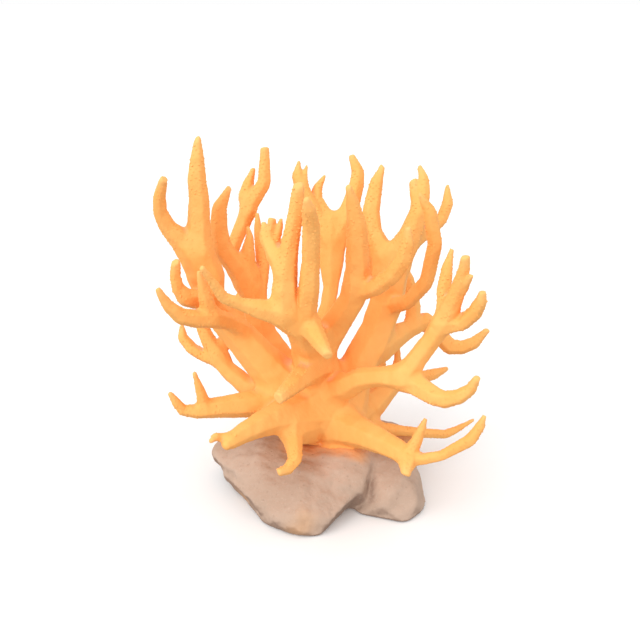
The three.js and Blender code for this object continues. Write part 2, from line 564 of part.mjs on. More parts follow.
function rearRightLimb() {
  return branch('rear_right_limb', beyond(REAR_RIGHT_LIMB, STUB.rearRightLimb),
    stub(REAR_RIGHT_INNER, STUB.rearRightInner), stub(REAR_RIGHT_OUTER, STUB.rearRightOuter));
}

function rearRightInner() {
  return branch('rear_right_inner_antler', beyond(REAR_RIGHT_INNER, STUB.rearRightInner));
}

function rearRightOuter() {
  return branch('rear_right_outer_antler', beyond(REAR_RIGHT_OUTER, STUB.rearRightOuter));
}

function rearLowLeft() {
  return branch('rear_low_left_branch', beyond(REAR_LOW_LEFT, STUB.rearLowLeft));
}

function rearLowMiddle() {
  return branch('rear_low_middle_branch', beyond(REAR_LOW_MIDDLE, STUB.rearLowMiddle));
}

function rearLowRight() {
  return branch('rear_low_right_branch', beyond(REAR_LOW_RIGHT, STUB.rearLowRight));
}

const group = new THREE.Group();
group.name = 'staghorn_coral';
group.add(stone(), trunk());
group.add(frontArm(), frontLeftAntler(), frontFan(), frontRightAntler());
group.add(centreArm(), centreUpright(), centreAntler());
group.add(backArm(), backLeftAntler(), backRightAntler());
group.add(rightLimb(), rightInnerAntler(), rightOuterAntler(), rightHighTwig(), rightFrontBranch());
group.add(rightBackBranch(), rightBackOuter(), rightBackUpright());
group.add(rightArm(), rightArmUpper(), innerTine(), middleTine(), outerTine(), rightArmLower());
group.add(rightLowBranch(), footRightBranch(), footRightOuter(), footBackTwig());
group.add(leftLimb(), leftCurvedAntler(), leftTallAntler(), leftFrontBranch(), leftOuterTwig());
group.add(leftLowLimb(), leftLowOuter(), leftLowMiddle(), leftLowBranch());
group.add(footLeftBranch(), footFrontTwig(), frontStub());
group.add(backLeftLimb(), backLeftSpike(), backLeftOuter(), backLeftTwig(), backLeftTall());
group.add(rearLeftLimb(), rearLeftOuter(), rearLeftInner());
group.add(rearLimb(), rearOuter(), rearInner());
group.add(rearRightLimb(), rearRightInner(), rearRightOuter());
group.add(rearLowLeft(), rearLowMiddle(), rearLowRight());

export default group;
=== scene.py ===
"""Looks of a staghorn coral colony grown on a stone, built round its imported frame.

Lengths in the tables are millimetres, as in the part; meshes are in metres. The colony's skin is one
distance field: every stem is a chain of round cones, stems that fork blend into webs, and the
zero surface is meshed once and then shared out between the branches.
"""

import math

import bpy
import numpy as np
import openvdb
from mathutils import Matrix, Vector


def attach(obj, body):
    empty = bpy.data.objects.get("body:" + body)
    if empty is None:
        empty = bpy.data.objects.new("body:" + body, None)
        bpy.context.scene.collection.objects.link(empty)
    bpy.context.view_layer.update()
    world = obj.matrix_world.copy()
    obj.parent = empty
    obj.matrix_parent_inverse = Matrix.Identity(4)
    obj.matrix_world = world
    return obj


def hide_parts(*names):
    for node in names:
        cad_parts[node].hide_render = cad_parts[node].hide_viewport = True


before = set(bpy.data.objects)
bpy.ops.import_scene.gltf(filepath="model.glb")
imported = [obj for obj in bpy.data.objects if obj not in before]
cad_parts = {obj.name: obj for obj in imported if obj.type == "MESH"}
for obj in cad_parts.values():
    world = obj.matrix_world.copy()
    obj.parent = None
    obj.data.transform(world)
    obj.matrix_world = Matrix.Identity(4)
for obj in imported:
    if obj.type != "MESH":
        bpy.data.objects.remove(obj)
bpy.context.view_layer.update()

bl_info = {
    "name": "Staghorn coral",
    "version": (1, 0, 0),
    "blender": (4, 5, 0),
    "location": "3D View > Sidebar > Coral",
    "description": "Grows a staghorn coral colony on its stone",
    "category": "Add Mesh",
}

MM = 0.001

# Every stem: the branch it belongs to, the branch that carries its root, how much of its root
# stays on that one (mm), and its joints (x, y, z, radius) in mm.
STEMS = [
    ("trunk", "trunk", 0,
     [(20, 11, 22, 22), (17, 10, 42, 22), (12, 6, 61, 24), (4, 4, 81, 21), (-3, 2, 100, 17),
      (-6, 0, 116, 14)]),
    ("front_arm", "trunk", 34,
     [(-5, -4, 116, 14.5), (-12, -40, 150, 12), (-27, -52, 164, 9.5), (-41, -58, 169, 7),
      (-53, -62, 174, 4.5), (-64, -67, 180, 4), (-76, -78, 204, 2)]),
    ("front_arm", "front_arm", 0, [(-9, -44, 155, 8.5), (-1, -62, 148, 6), (5, -78, 144, 3.5)]),
    ("front_left_antler", "front_arm", 23,
     [(-23, -52, 168, 9.5), (-24, -54, 181, 9), (-23, -55, 194, 7.5), (-20, -56, 213, 6),
      (-16, -57, 234, 5.2), (-14, -58, 252.5, 4)]),
    ("front_fan", "front_left_antler", 17,
     [(-24, -54, 195, 7), (-29, -50, 204, 7), (-33, -45, 211, 6), (-36, -42, 216, 5)]),
    ("front_fan", "front_fan", 0, [(-34, -43, 214, 4.5), (-33, -45, 221, 3.2), (-32, -46, 228, 2.8)]),
    ("front_fan", "front_fan", 0, [(-32, -44, 211, 4), (-27.5, -46, 219, 2.4), (-26, -47, 228.5, 1.5)]),
    ("front_fan", "front_fan", 0, [(-35, -43, 213, 4.5), (-37.5, -37, 218, 3), (-38.5, -32, 222, 2)]),
    ("front_right_antler", "front_arm", 32,
     [(-12, -46, 158, 9), (-7.5, -58, 183, 7), (-6, -63, 206, 5.8), (-5.6, -71, 229, 5.6),
      (-7, -80, 243, 4.4), (-8.5, -84, 250, 2)]),
    ("centre_arm", "trunk", 32,
     [(0, 0, 120, 13.5), (14, -10, 144, 10.5), (23, -20, 163, 9.5), (27, -26, 179, 9)]),
    ("centre_upright", "centre_arm", 25,
     [(27, -24, 174, 9), (26, -32, 199, 8), (25, -38, 222, 6.5), (22, -42, 238, 4.5),
      (19, -46, 250, 2)]),
    ("centre_antler", "centre_arm", 24,
     [(26, -22, 171, 8), (39, -36, 178, 6.5), (49, -46, 189, 6), (56, -52, 202, 6),
      (58, -56, 215, 4.5), (58, -58, 225, 2)]),
    ("back_arm", "trunk", 23,
     [(0, 8, 117, 12.5), (6, 24, 141, 6), (8.5, 36, 154, 6), (9, 49, 171, 10), (10, 56, 189, 11),
      (10, 60, 201, 8.5)]),
    ("back_arm", "back_arm", 0,
     [(4, 63, 205, 5.8), (-3.5, 67, 217, 5.4), (-1.8, 69, 226, 3.8), (3.8, 72, 235.5, 1)]),
    ("back_left_antler", "back_arm", 31,
     [(8, 55, 189, 9.5), (-3, 59, 206, 6.5), (-13.5, 62, 225, 5.5), (-17.5, 65, 236, 4.5),
      (-16.5, 68, 247, 1.2)]),
    ("back_left_antler", "back_left_antler", 0,
     [(-13, 62, 227, 4), (-12, 65, 236, 2.4), (-10.5, 68, 244, 1)]),
    ("back_right_antler", "back_arm", 27,
     [(13, 56, 190, 9.5), (19, 60, 199, 8.5), (25, 66, 215, 7), (29, 71, 228, 6), (30, 74, 238, 5),
      (25, 78, 249.5, 2.6)]),
    ("right_limb", "trunk", 36,
     [(20, 10, 71, 16.5), (32, 14, 102, 14), (44, 20, 124, 13), (52, 24, 148, 13), (54, 26, 170, 14),
      (54, 27, 180, 12.5)]),
    ("right_inner_antler", "right_limb", 24,
     [(49, 28, 181, 9), (41, 36, 199, 6.2), (39, 42, 213, 6.5), (43, 52, 232, 5.2), (48, 59, 244.5, 2.2)]),
    ("right_outer_antler", "right_limb", 30,
     [(59, 26, 179, 11.5), (67, 24, 197, 9), (73, 24, 215, 7), (77, 27, 229, 5), (77.5, 30, 240, 3.8),
      (74, 34, 249, 1.8)]),
    ("right_outer_antler", "right_outer_antler", 0,
     [(74, 24, 217, 5), (71, 27, 228, 3.8), (69.5, 30, 238.5, 3.2)]),
    ("right_high_twig", "right_limb", 27,
     [(64, 28, 190, 8.5), (79, 36, 199, 7), (94, 47, 205, 4.5), (99, 52, 217, 4.5), (99, 58, 230, 1.5)]),
    ("right_front_branch", "right_limb", 18,
     [(56, 16, 146, 6.5), (64, -10, 157.5, 5.2), (75.5, -26, 178, 5.2), (79, -36, 209, 5.2),
      (74, -41, 232, 4.5), (66, -44, 245, 1.5)]),
    ("right_back_branch", "right_limb", 21,
     [(46, 22, 109, 12), (62, 37, 114, 9), (76, 50, 116, 6.5), (86, 58, 118, 6.5)]),
    ("right_back_outer", "right_back_branch", 19,
     [(85, 57, 118, 6.5), (97, 62, 106, 6.5), (108, 62, 94, 6.5), (118, 62, 93, 5.5), (128, 62, 97, 5),
      (138, 62, 108, 2.5)]),
    ("right_back_upright", "right_back_branch", 20,
     [(75, 50, 116, 6.5), (76, 56, 133, 5.5), (72, 62, 150, 5), (68, 68, 164, 2.5)]),
    ("right_arm", "trunk", 28,
     [(8, 0, 84, 13), (21, -24, 97, 9.5), (30, -36, 108, 8), (43, -46, 114, 7), (58, -54, 117, 9.5)]),
    ("right_arm_upper", "right_arm", 20,
     [(60, -54, 118, 8.5), (68, -57, 133, 7), (76, -60, 147, 6.5), (83, -62, 161, 7.5),
      (87, -63, 169, 6.5)]),
    ("right_arm_inner_tine", "right_arm_upper", 20,
     [(85, -60, 163, 6), (84, -54, 181, 5), (86, -49, 194, 4), (89, -46, 207, 1.5)]),
    ("right_arm_middle_tine", "right_arm_upper", 19,
     [(86, -63, 167, 7), (91, -70, 187, 5.5), (93, -76, 202, 4), (93, -79, 211, 3)]),
    ("right_arm_middle_tine", "right_arm_middle_tine", 0, [(94, -72, 188, 3), (97, -82, 200, 1.5)]),
    ("right_arm_outer_tine", "right_arm_upper", 20,
     [(84, -62, 160, 7), (95, -67, 162, 5.5), (102, -74, 172, 5), (105, -79, 182, 4),
      (105, -81, 188, 2.5)]),
    ("right_arm_lower", "right_arm", 20,
     [(62, -54, 115, 8.5), (78, -70, 110, 6.8), (85, -75, 109.5, 5.8), (94, -80, 114, 5), (101, -83, 121, 4),
      (104, -86, 130, 2.5)]),
    ("right_low_branch", "trunk", 44,
     [(18, 14, 50, 17.5), (41, 30, 56, 12), (58, 46, 67, 9), (70, 56, 70, 6.5)]),
    ("right_low_branch", "right_low_branch", 0,
     [(69, 55, 68, 6), (83, 64, 65, 5), (96, 70, 65, 5), (109, 76, 68, 2)]),
    ("right_low_branch", "right_low_branch", 0, [(62, 50, 67, 6), (65, 60, 84, 3), (64, 66, 97, 2)]),
    ("foot_right_branch", "trunk", 32,
     [(16, -4, 55, 17), (34, -30, 60, 11), (47, -48, 62, 9), (57, -60, 62, 8), (63, -67, 60, 6.5)]),
    ("foot_right_branch", "foot_right_branch", 0,
     [(62, -66, 61, 6.5), (61, -74, 58, 5.5), (60, -80, 55, 3.5)]),
    ("foot_right_branch", "foot_right_branch", 0,
     [(63, -65, 62, 5.5), (68, -68, 74, 4), (71, -70, 85, 3), (73, -72, 93, 1.5)]),
    ("foot_right_outer", "foot_right_branch", 18,
     [(61, -64, 59, 6.2), (73, -71, 61.5, 4.2), (85, -76, 67, 3.6), (103, -82, 82, 4.3), (109, -83, 93, 3.3),
      (111, -84, 101, 1.5)]),
    ("foot_back_twig", "trunk", 30,
     [(24, 12, 43, 13), (50, 17, 40, 6), (67, 20, 37.2, 4.3), (84, 25, 32.5, 4), (104, 32, 27.8, 3.6),
      (116, 37, 31, 2.6), (128, 42, 36, 1.2)]),
    ("left_limb", "trunk", 62,
     [(2, 6, 62, 21), (-25, 6, 81, 18), (-45, 4, 106, 14), (-60, 3, 125, 12), (-72, 2, 139, 10.5),
      (-80.5, 1, 155, 9.5), (-84, -1, 175, 13.5), (-90, -3, 194, 11.5)]),
    ("left_curved_antler", "left_limb", 24,
     [(-90, -3, 191, 10), (-98, -6, 201, 8.5), (-108, -11, 214, 6), (-112, -16, 226, 5),
      (-111, -21, 238, 4.4), (-106, -28, 251.5, 2.8)]),
    ("left_tall_antler", "left_limb", 23,
     [(-88, -3, 194, 10), (-87, -3, 216, 8), (-86, -3, 232, 7), (-87, -3, 246, 6.5), (-86, -3, 261, 5),
      (-85, -3, 275, 2.4)]),
    ("left_front_branch", "left_limb", 18,
     [(-58, -2, 133, 6.5), (-67, -17, 145, 6), (-76.5, -33, 154, 7.5), (-87, -41, 156, 6.5),
      (-96, -48, 160, 5.5), (-104, -53, 170, 4), (-109, -58, 183, 2)]),
    ("left_front_branch", "left_front_branch", 0,
     [(-78, -34, 156, 6.5), (-80, -38, 171, 5), (-82, -41, 183, 3), (-83, -43, 191, 1.5)]),
    ("left_outer_twig", "left_limb", 24,
     [(-81, -3, 163, 8), (-87, -14, 161, 7.5), (-96, -22, 165, 6.5), (-101, -25, 173, 4.5),
      (-102, -27, 182, 4), (-101, -29, 193, 3.4)]),
    ("left_low_limb", "trunk", 32,
     [(-32, 6, 74, 14), (-57, 16, 78, 8.5), (-73, 24, 89, 7), (-82, 30, 98, 7)]),
    ("left_low_outer_twig", "left_low_limb", 23,
     [(-78, 29, 96, 6.5), (-91, 33, 96.5, 5), (-103, 36, 102.5, 4.8), (-110, 39, 110.5, 4.2),
      (-111, 42, 120, 2)]),
    ("left_low_middle_twig", "left_low_limb", 19,
     [(-80, 29, 99, 7), (-88, 33, 109, 6), (-93, 36, 119, 5), (-98, 39, 131, 2.5)]),
    ("left_low_limb", "left_low_limb", 0, [(-81, 32, 100, 6.5), (-76, 40, 110, 5), (-74, 50, 117, 2.5)]),
    ("left_low_branch", "trunk", 44,
     [(-16, 0, 70, 16), (-45, -8, 75, 10.5), (-62, -14, 76, 9), (-79, -20, 77, 7.5),
      (-92, -24, 76, 5.5), (-102, -27, 78, 4), (-106, -29, 85, 3.5), (-110, -31, 93, 2)]),
    ("left_low_branch", "left_low_branch", 0,
     [(-86, -22, 78, 5.5), (-89, -25, 94, 3.5), (-92, -29, 109, 1.5)]),
    ("foot_left_branch", "trunk", 45,
     [(-8, -6, 67, 18.5), (-30, -30, 74, 12), (-43, -46, 76, 9), (-55, -60, 76, 7),
      (-62, -69, 75, 5.5), (-65, -73, 74, 4)]),
    ("foot_left_branch", "foot_left_branch", 0,
     [(-61, -66, 75, 5), (-70, -68, 77, 3), (-73, -71, 79, 3), (-76, -76, 78, 1.5)]),
    ("foot_front_twig", "trunk", 40,
     [(-12, -6, 55, 15.5), (-21, -34, 62, 8), (-19, -46, 57, 6), (-18, -56, 53, 5), (-23, -63, 49, 4),
      (-29, -69, 50, 3)]),
    ("front_stub", "trunk", 32,
     [(-2, -2, 105, 13.5), (-12, -30, 108, 9), (-21, -52, 108, 6.5), (-28, -66, 107, 4.5)]),
    ("back_left_limb", "trunk", 40,
     [(-6, 20, 72, 16), (-29, 36, 89, 12), (-45, 43, 111, 11), (-51, 44, 132, 10.5),
      (-53, 43, 148, 9.5), (-56, 42, 162, 9)]),
    ("back_left_spike", "back_left_limb", 26,
     [(-58, 42, 157, 9), (-56, 38, 181, 5.5), (-54, 36, 195, 3), (-55, 35, 202, 1.5)]),
    ("back_left_outer_antler", "back_left_limb", 31,
     [(-57, 42, 153, 9), (-66, 35, 173, 8), (-75, 30, 188, 7.5), (-76.5, 27, 203, 6.5),
      (-75, 24, 220, 5.5), (-67, 20, 235.5, 2.2)]),
    ("back_left_twig", "back_left_limb", 25,
     [(-51, 45, 140, 7), (-46.5, 47, 155, 5.2), (-45.3, 50, 167, 5.2), (-46.8, 53, 180, 4.4),
      (-48.5, 55.5, 193, 3.6), (-49.4, 57, 208, 1.6)]),
    ("back_left_tall_antler", "back_left_limb", 22,
     [(-63, 46, 163, 7), (-71.5, 54, 174, 5.6), (-67, 60, 186, 5.6), (-60.5, 65, 200, 6.2),
      (-55, 67, 213, 6), (-44, 68, 230, 5.5), (-43, 70, 256, 3.5)]),
    ("back_left_tall_antler", "back_left_tall_antler", 0,
     [(-57, 66, 208, 6), (-60, 70, 219, 5), (-57, 74, 228, 4.5), (-53, 78, 239, 2)]),
    ("rear_left_limb", "trunk", 47,
     [(-2, 24, 59, 16), (-22, 54, 60, 12.5), (-44, 74, 77, 11), (-63, 86, 98, 10), (-77, 94, 115, 8.5)]),
    ("rear_left_outer_antler", "rear_left_limb", 21,
     [(-77, 94, 113, 8), (-91, 99, 130, 7), (-100, 103, 150, 6), (-102, 108, 173, 3.5)]),
    ("rear_left_inner_antler", "rear_left_limb", 24,
     [(-75, 94, 111, 8), (-64, 100, 126, 7), (-64, 106, 147, 5), (-63, 110, 166, 2.5)]),
    ("rear_limb", "trunk", 35,
     [(8, 22, 62, 14.5), (2, 46, 80, 11.5), (-5, 62, 100, 10), (-13, 74, 117, 9)]),
    ("rear_outer_antler", "rear_limb", 25,
     [(-13, 74, 114, 8), (-26, 86, 134, 6.5), (-31, 94, 156, 6), (-30, 102, 175, 3.5)]),
    ("rear_inner_antler", "rear_limb", 24,
     [(-13, 74, 114, 8), (-7, 90, 137, 6), (-7, 101, 161, 5.5), (-8, 108, 182, 3)]),
    ("rear_right_limb", "trunk", 28,
     [(20, 22, 62, 14.5), (31, 46, 78, 11.5), (43, 64, 97, 10), (51, 78, 119, 9)]),
    ("rear_right_inner_antler", "rear_right_limb", 27,
     [(51, 78, 117, 8), (48, 84, 142, 6.5), (43, 92, 164, 5.5), (44, 100, 182, 4), (46, 106, 196, 2)]),
    ("rear_right_outer_antler", "rear_right_limb", 27,
     [(51, 78, 117, 8), (64, 92, 137, 7), (72, 101, 160, 6), (78, 108, 178, 4.5), (83, 114, 196, 2.5)]),
    ("rear_low_left_branch", "trunk", 54,
     [(8, 24, 50, 14.5), (-12, 56, 44, 9), (-28, 78, 42, 7.5), (-42, 94, 50, 5.5), (-50, 105, 65, 2.5)]),
    ("rear_low_middle_branch", "trunk", 34,
     [(15, 26, 46, 13), (12, 58, 44, 8), (7, 82, 45, 6), (2, 100, 58, 3)]),
    ("rear_low_right_branch", "trunk", 42,
     [(20, 24, 48, 13), (35, 52, 48, 8.5), (46, 72, 53, 7), (53, 88, 65, 5), (53, 100, 80, 2.5)]),
]

# Lobes of the stone: centre and half sizes (mm), how widely each blends with those before it, and
# the broad flat chips off it: a direction and how far from the centre the chip lies.
STONE_LOBES = [
    ((8, -2, 12), (60, 52, 28), 0,
     [((0.1, -0.62, 0.78), 34), ((-0.55, -0.35, 0.75), 35), ((0.6, -0.2, 0.77), 36), ((0.3, 0.8, 0.5), 44),
      ((0.25, -0.9, -0.35), 33), ((0.2, -0.97, 0.1), 40)]),
    ((-50, 6, 22), (38, 38, 18), 12,
     [((-0.93, -0.3, 0.2), 34), ((-0.35, -0.25, 0.9), 17), ((-0.6, -0.55, -0.6), 23.5),
      ((-0.5, 0.8, 0.3), 32)]),
    ((-40, -18, 12), (36, 38, 24), 12,
     [((-0.72, -0.46, -0.52), 22), ((-0.6, -0.4, 0.7), 24)]),
    ((-13, -36, 8), (42, 48, 29), 6,
     [((-0.5, -0.86, 0.12), 38), ((0.24, -0.96, 0.15), 39), ((0.76, -0.43, -0.5), 29.8),
      ((-0.5, -0.75, -0.45), 34.5), ((-0.1, -0.7, -0.7), 32),
      ((-0.45, -0.45, 0.77), 27), ((0.35, -0.5, 0.79), 28), ((-0.9, -0.4, 0.15), 34)]),
    ((20, -16, 12), (35, 38, 31), 3,
     [((0.05, -0.98, 0.18), 34), ((0.0, -0.85, -0.5), 24.5), ((0.85, -0.5, 0.15), 27),
      ((0.1, -0.6, 0.8), 31)]),
    ((51, -19, 9), (40, 42, 28), 1.5,
     [((-0.34, -0.94, -0.1), 33), ((0.78, -0.63, -0.05), 35.5), ((0.93, -0.2, 0.3), 28),
      ((0.87, -0.36, -0.35), 37), ((0.96, 0.25, 0.1), 28.5), ((0.7, -0.1, 0.7), 25.5),
      ((-0.15, -0.5, 0.85), 26), ((0.2, -0.85, 0.5), 31), ((-0.7, -0.5, 0.5), 24)]),
    ((46, 36, 16), (39, 23, 20), 4,
     [((0.8, 0.5, 0.3), 33), ((0.2, 0.95, 0.2), 20), ((0.5, 0.2, 0.84), 24),
      ((0.85, -0.2, -0.5), 24)]),
]

# Ochre stains on the stone: centre and reach (mm).
STONE_STAINS = [(-9, -79, 21, 8), (-10, -80, 10, 8), (-20, -76, 3, 7), (-58, -28, 7, 9)]

FAR = 24.0  # mm, the distance where nothing is near
WINDOW = 13.0  # mm of samples worked out round a stem
GOLDEN = math.pi * (3.0 - math.sqrt(5.0))
WEB_WIDTH = (2.5, 9.0)  # mm, least and most width of the blend in a fork
TIP_LEAN = 0.45  # how far a tip's flat end may lean from square
TIP_FLAT = 0.4  # where the flat end cuts the tip, in tip radii past its last joint
TIP_FADE = 16.0  # mm over which a tip's colour fades
CHIP_EDGE = 2.5  # mm, roundness of the edges of the stone's chips
FOOT_BLEND, FOOT_REACH, FOOT_FADE = 8.0, 17.0, 14.0  # mm, the foot's spread over the stone
FOOT_TOP, FOOT_BOTTOM = 62.0, 8.0  # mm, heights between which the foot meets the stone
FOOT_DEPTH = 1.2  # mm that the foot runs on under the stone's surface
# The orange tint round the foot is a thin coral crust plus painted orange light reflected from the coral.
CRUST_AND_BOUNCE_LIGHT_REACH = 21.0  # mm from the colony that its crust reaches on the stone
FLOOR_HALF, FLOOR_DROP = 40.0, 0.0005  # m
KEY_ANGLE = math.radians(75.0)
KEY_PLACE = (-0.52, -0.78, 0.80)


# ---------------------------------------------------------------- numpy helpers


def rounded_chain(joints, cut=0.08, passes=2):
    """Joints with their corners cut: each pass replaces a corner by points a share of the way
    along its two sides; the ends stay where they are."""
    path = np.array(joints, float)
    for _ in range(passes):
        near = (1.0 - cut) * path[:-1] + cut * path[1:]
        far = cut * path[:-1] + (1.0 - cut) * path[1:]
        middle = np.stack([near, far], axis=1).reshape(-1, 4)
        path = np.vstack([path[:1], middle[1:-1], path[-1:]])
    return path


def along(path):
    """Distance from the start of a path to each of its points."""
    steps = np.linalg.norm(np.diff(path[:, :3], axis=0), axis=1)
    return np.concatenate([[0.0], np.cumsum(steps)])


def cone_distance(points, a, b, side=None, flats=0.0):
    """Distance to a round cone: the distance to the nearest point of the axis from a to b, less
    the radius there. With a side direction, the section leans from a circle toward a hexagon by
    the share flats. Also gives the share of the way along the axis."""
    axis = b[:3] - a[:3]
    length = max(float(np.linalg.norm(axis)), 1e-6)
    share = np.clip(((points - a[:3]) @ axis) / length ** 2, 0.0, 1.0)
    away = points - (a[:3] + share[..., None] * axis)
    square = np.einsum("...i,...i", away, away)
    gap = np.sqrt(square)
    if side is not None:
        ahead = away @ (axis / length)
        x, y = away @ side, away @ np.cross(axis / length, side)
        face = np.maximum(np.abs(x), np.maximum(np.abs(0.5 * x + 0.866 * y), np.abs(0.5 * x - 0.866 * y)))
        gap = (1.0 - flats) * gap + flats * np.sqrt((face / 0.94) ** 2 + ahead ** 2)
    return gap - (a[3] + share * (b[3] - a[3])), share


def soft_min(a, b, width):
    """Two distances blended over a width: their minimum, lowered by up to a quarter of it."""
    mix = np.clip(0.5 + 0.5 * (b - a) / width, 0.0, 1.0)
    return b * (1.0 - mix) + a * mix - width * mix * (1.0 - mix)


def waves(points, scale, seed, count=14):
    """Smooth noise between about -1 and 1: the mean of sine waves in random directions."""
    rng = np.random.default_rng(seed)
    direction = rng.normal(size=(count, 3))
    direction /= np.linalg.norm(direction, axis=1)[:, None]
    pitch = rng.uniform(0.6, 1.7, count) / scale
    phase = rng.uniform(0.0, 2.0 * math.pi, count)
    total = np.sin(points @ (direction * pitch[:, None]).T * 2.0 * math.pi + phase).sum(axis=1)
    return total / math.sqrt(count * 0.5) * 0.6


class Grid:
    """A box of sample points one step apart, with a distance at each."""

    def __init__(self, low, high, step):
        self.step = step
        self.low = np.array(low, float)
        self.size = np.ceil((np.array(high, float) - self.low) / step).astype(int) + 1
        self.field = np.full(self.size, FAR, np.float32)

    def window(self, low, high):
        """First and last sample of the part of the grid round a box."""
        first = np.maximum(np.floor((np.array(low) - self.low) / self.step).astype(int), 0)
        last = np.minimum(np.ceil((np.array(high) - self.low) / self.step).astype(int) + 1, self.size)
        return first, last

    def points(self, first, last):
        """Places of the samples of a window."""
        lines = [self.low[k] + self.step * np.arange(first[k], last[k]) for k in range(3)]
        return np.stack(np.meshgrid(*lines, indexing="ij"), axis=-1)

    def read(self, values, points):
        """Values between the samples, mixed from the eight round each point."""
        place = (points - self.low) / self.step
        place = np.clip(place, 0, self.size - 1.001)
        base = place.astype(int)
        part = place - base
        total = 0.0
        for corner in np.ndindex(2, 2, 2):
            share = np.prod(np.where(corner, part, 1.0 - part), axis=-1)
            i, j, k = (base + np.array(corner)).T
            total = total + share * values[i, j, k]
        return total

    def nearest(self, values, points):
        """Values of the samples nearest to the points."""
        place = np.rint((points - self.low) / self.step).astype(int)
        i, j, k = np.clip(place, 0, self.size - 1).T
        return values[i, j, k]

    def slope(self, points):
        """Unit direction in which the distance grows fastest, at each point."""
        reach = 0.8 * self.step
        parts = [self.read(self.field, points + reach * e) - self.read(self.field, points - reach * e)
                 for e in np.eye(3)]
        way = np.stack(parts, axis=1)
        return way / np.maximum(np.linalg.norm(way, axis=1), 1e-9)[:, None]

    def surface(self):
        """Corner points and quads of the surface where the distance is zero, facing outwards."""
        volume = openvdb.FloatGrid(FAR)
        volume.copyFromArray(self.field)
        corners, quads = volume.convertToQuads(isovalue=0.0)
        corners = corners.astype(float) * self.step + self.low
        quads = quads.astype(np.int64)
        if signed_volume(corners, quads) < 0.0:
            quads = quads[:, ::-1]
        return corners, quads


def signed_volume(corners, quads):
    """Volume inside closed quads: the sum over their triangles of a . (b x c) / 6."""
    tris = np.vstack([quads[:, [0, 1, 2]], quads[:, [0, 2, 3]]])
    a, b, c = (corners[tris[:, k]] for k in range(3))
    return float(np.einsum("ij,ij->i", a, np.cross(b, c)).sum() / 6.0)


def corner_normals(corners, quads):
    """Unit normals: the cross products of each quad's diagonals, added up at its corners."""
    cross = np.cross(corners[quads[:, 2]] - corners[quads[:, 0]],
                     corners[quads[:, 3]] - corners[quads[:, 1]])
    total = np.zeros_like(corners)
    for k in range(4):
        for axis in range(3):
            total[:, axis] += np.bincount(quads[:, k], cross[:, axis], len(corners))
    return total / np.maximum(np.linalg.norm(total, axis=1), 1e-12)[:, None]


def smoothed(corners, quads, passes, push=0.5):
    """Each corner moved part of the way to the mean of its neighbours along the quads' sides,
    then back a little, so that bumps go and the size stays."""
    sides = np.vstack([quads[:, [k, (k + 1) % 4]] for k in range(4)])
    count = np.bincount(sides[:, 0], minlength=len(corners)).astype(float)
    out = corners.copy()
    for turn in range(passes * 2):
        mean = np.stack([np.bincount(sides[:, 0], out[sides[:, 1], axis], len(corners))
                         for axis in range(3)], axis=1) / np.maximum(count, 1.0)[:, None]
        out += (push if turn % 2 == 0 else -push * 1.04) * (mean - out)
    return out


# ---------------------------------------------------------------- the colony


class Stem:
    """One stem: its rounded path, the distances along it, its own branch and the one below."""

    def __init__(self, node, home, stub, joints):
        self.node, self.home, self.stub = node, home, float(stub)
        self.path = rounded_chain(joints)
        self.at = along(self.path)
        self.root = np.array(joints[0][:3], float)
        self.beyond = 0.0
        rng = np.random.default_rng(int(abs(self.path[:, :3].sum()) * 10) + 3)
        ways = np.diff(self.path[:, :3], axis=0)
        ways /= np.linalg.norm(ways, axis=1)[:, None]
        side = rng.normal(size=3)
        self.sides = []
        for way in ways:
            side = side - way * (side @ way)
            side = side / np.linalg.norm(side)
            self.sides.append(side)
        self.cut = ways[-1] + rng.uniform(-TIP_LEAN, TIP_LEAN, 3) + (-0.2, 0.0, -0.2)
        self.cut /= np.linalg.norm(self.cut)

    def distance(self, points):
        """Signed distance from points to the stem."""
        return np.min([cone_distance(points, a, b)[0] for a, b in zip(self.path, self.path[1:])], axis=0)


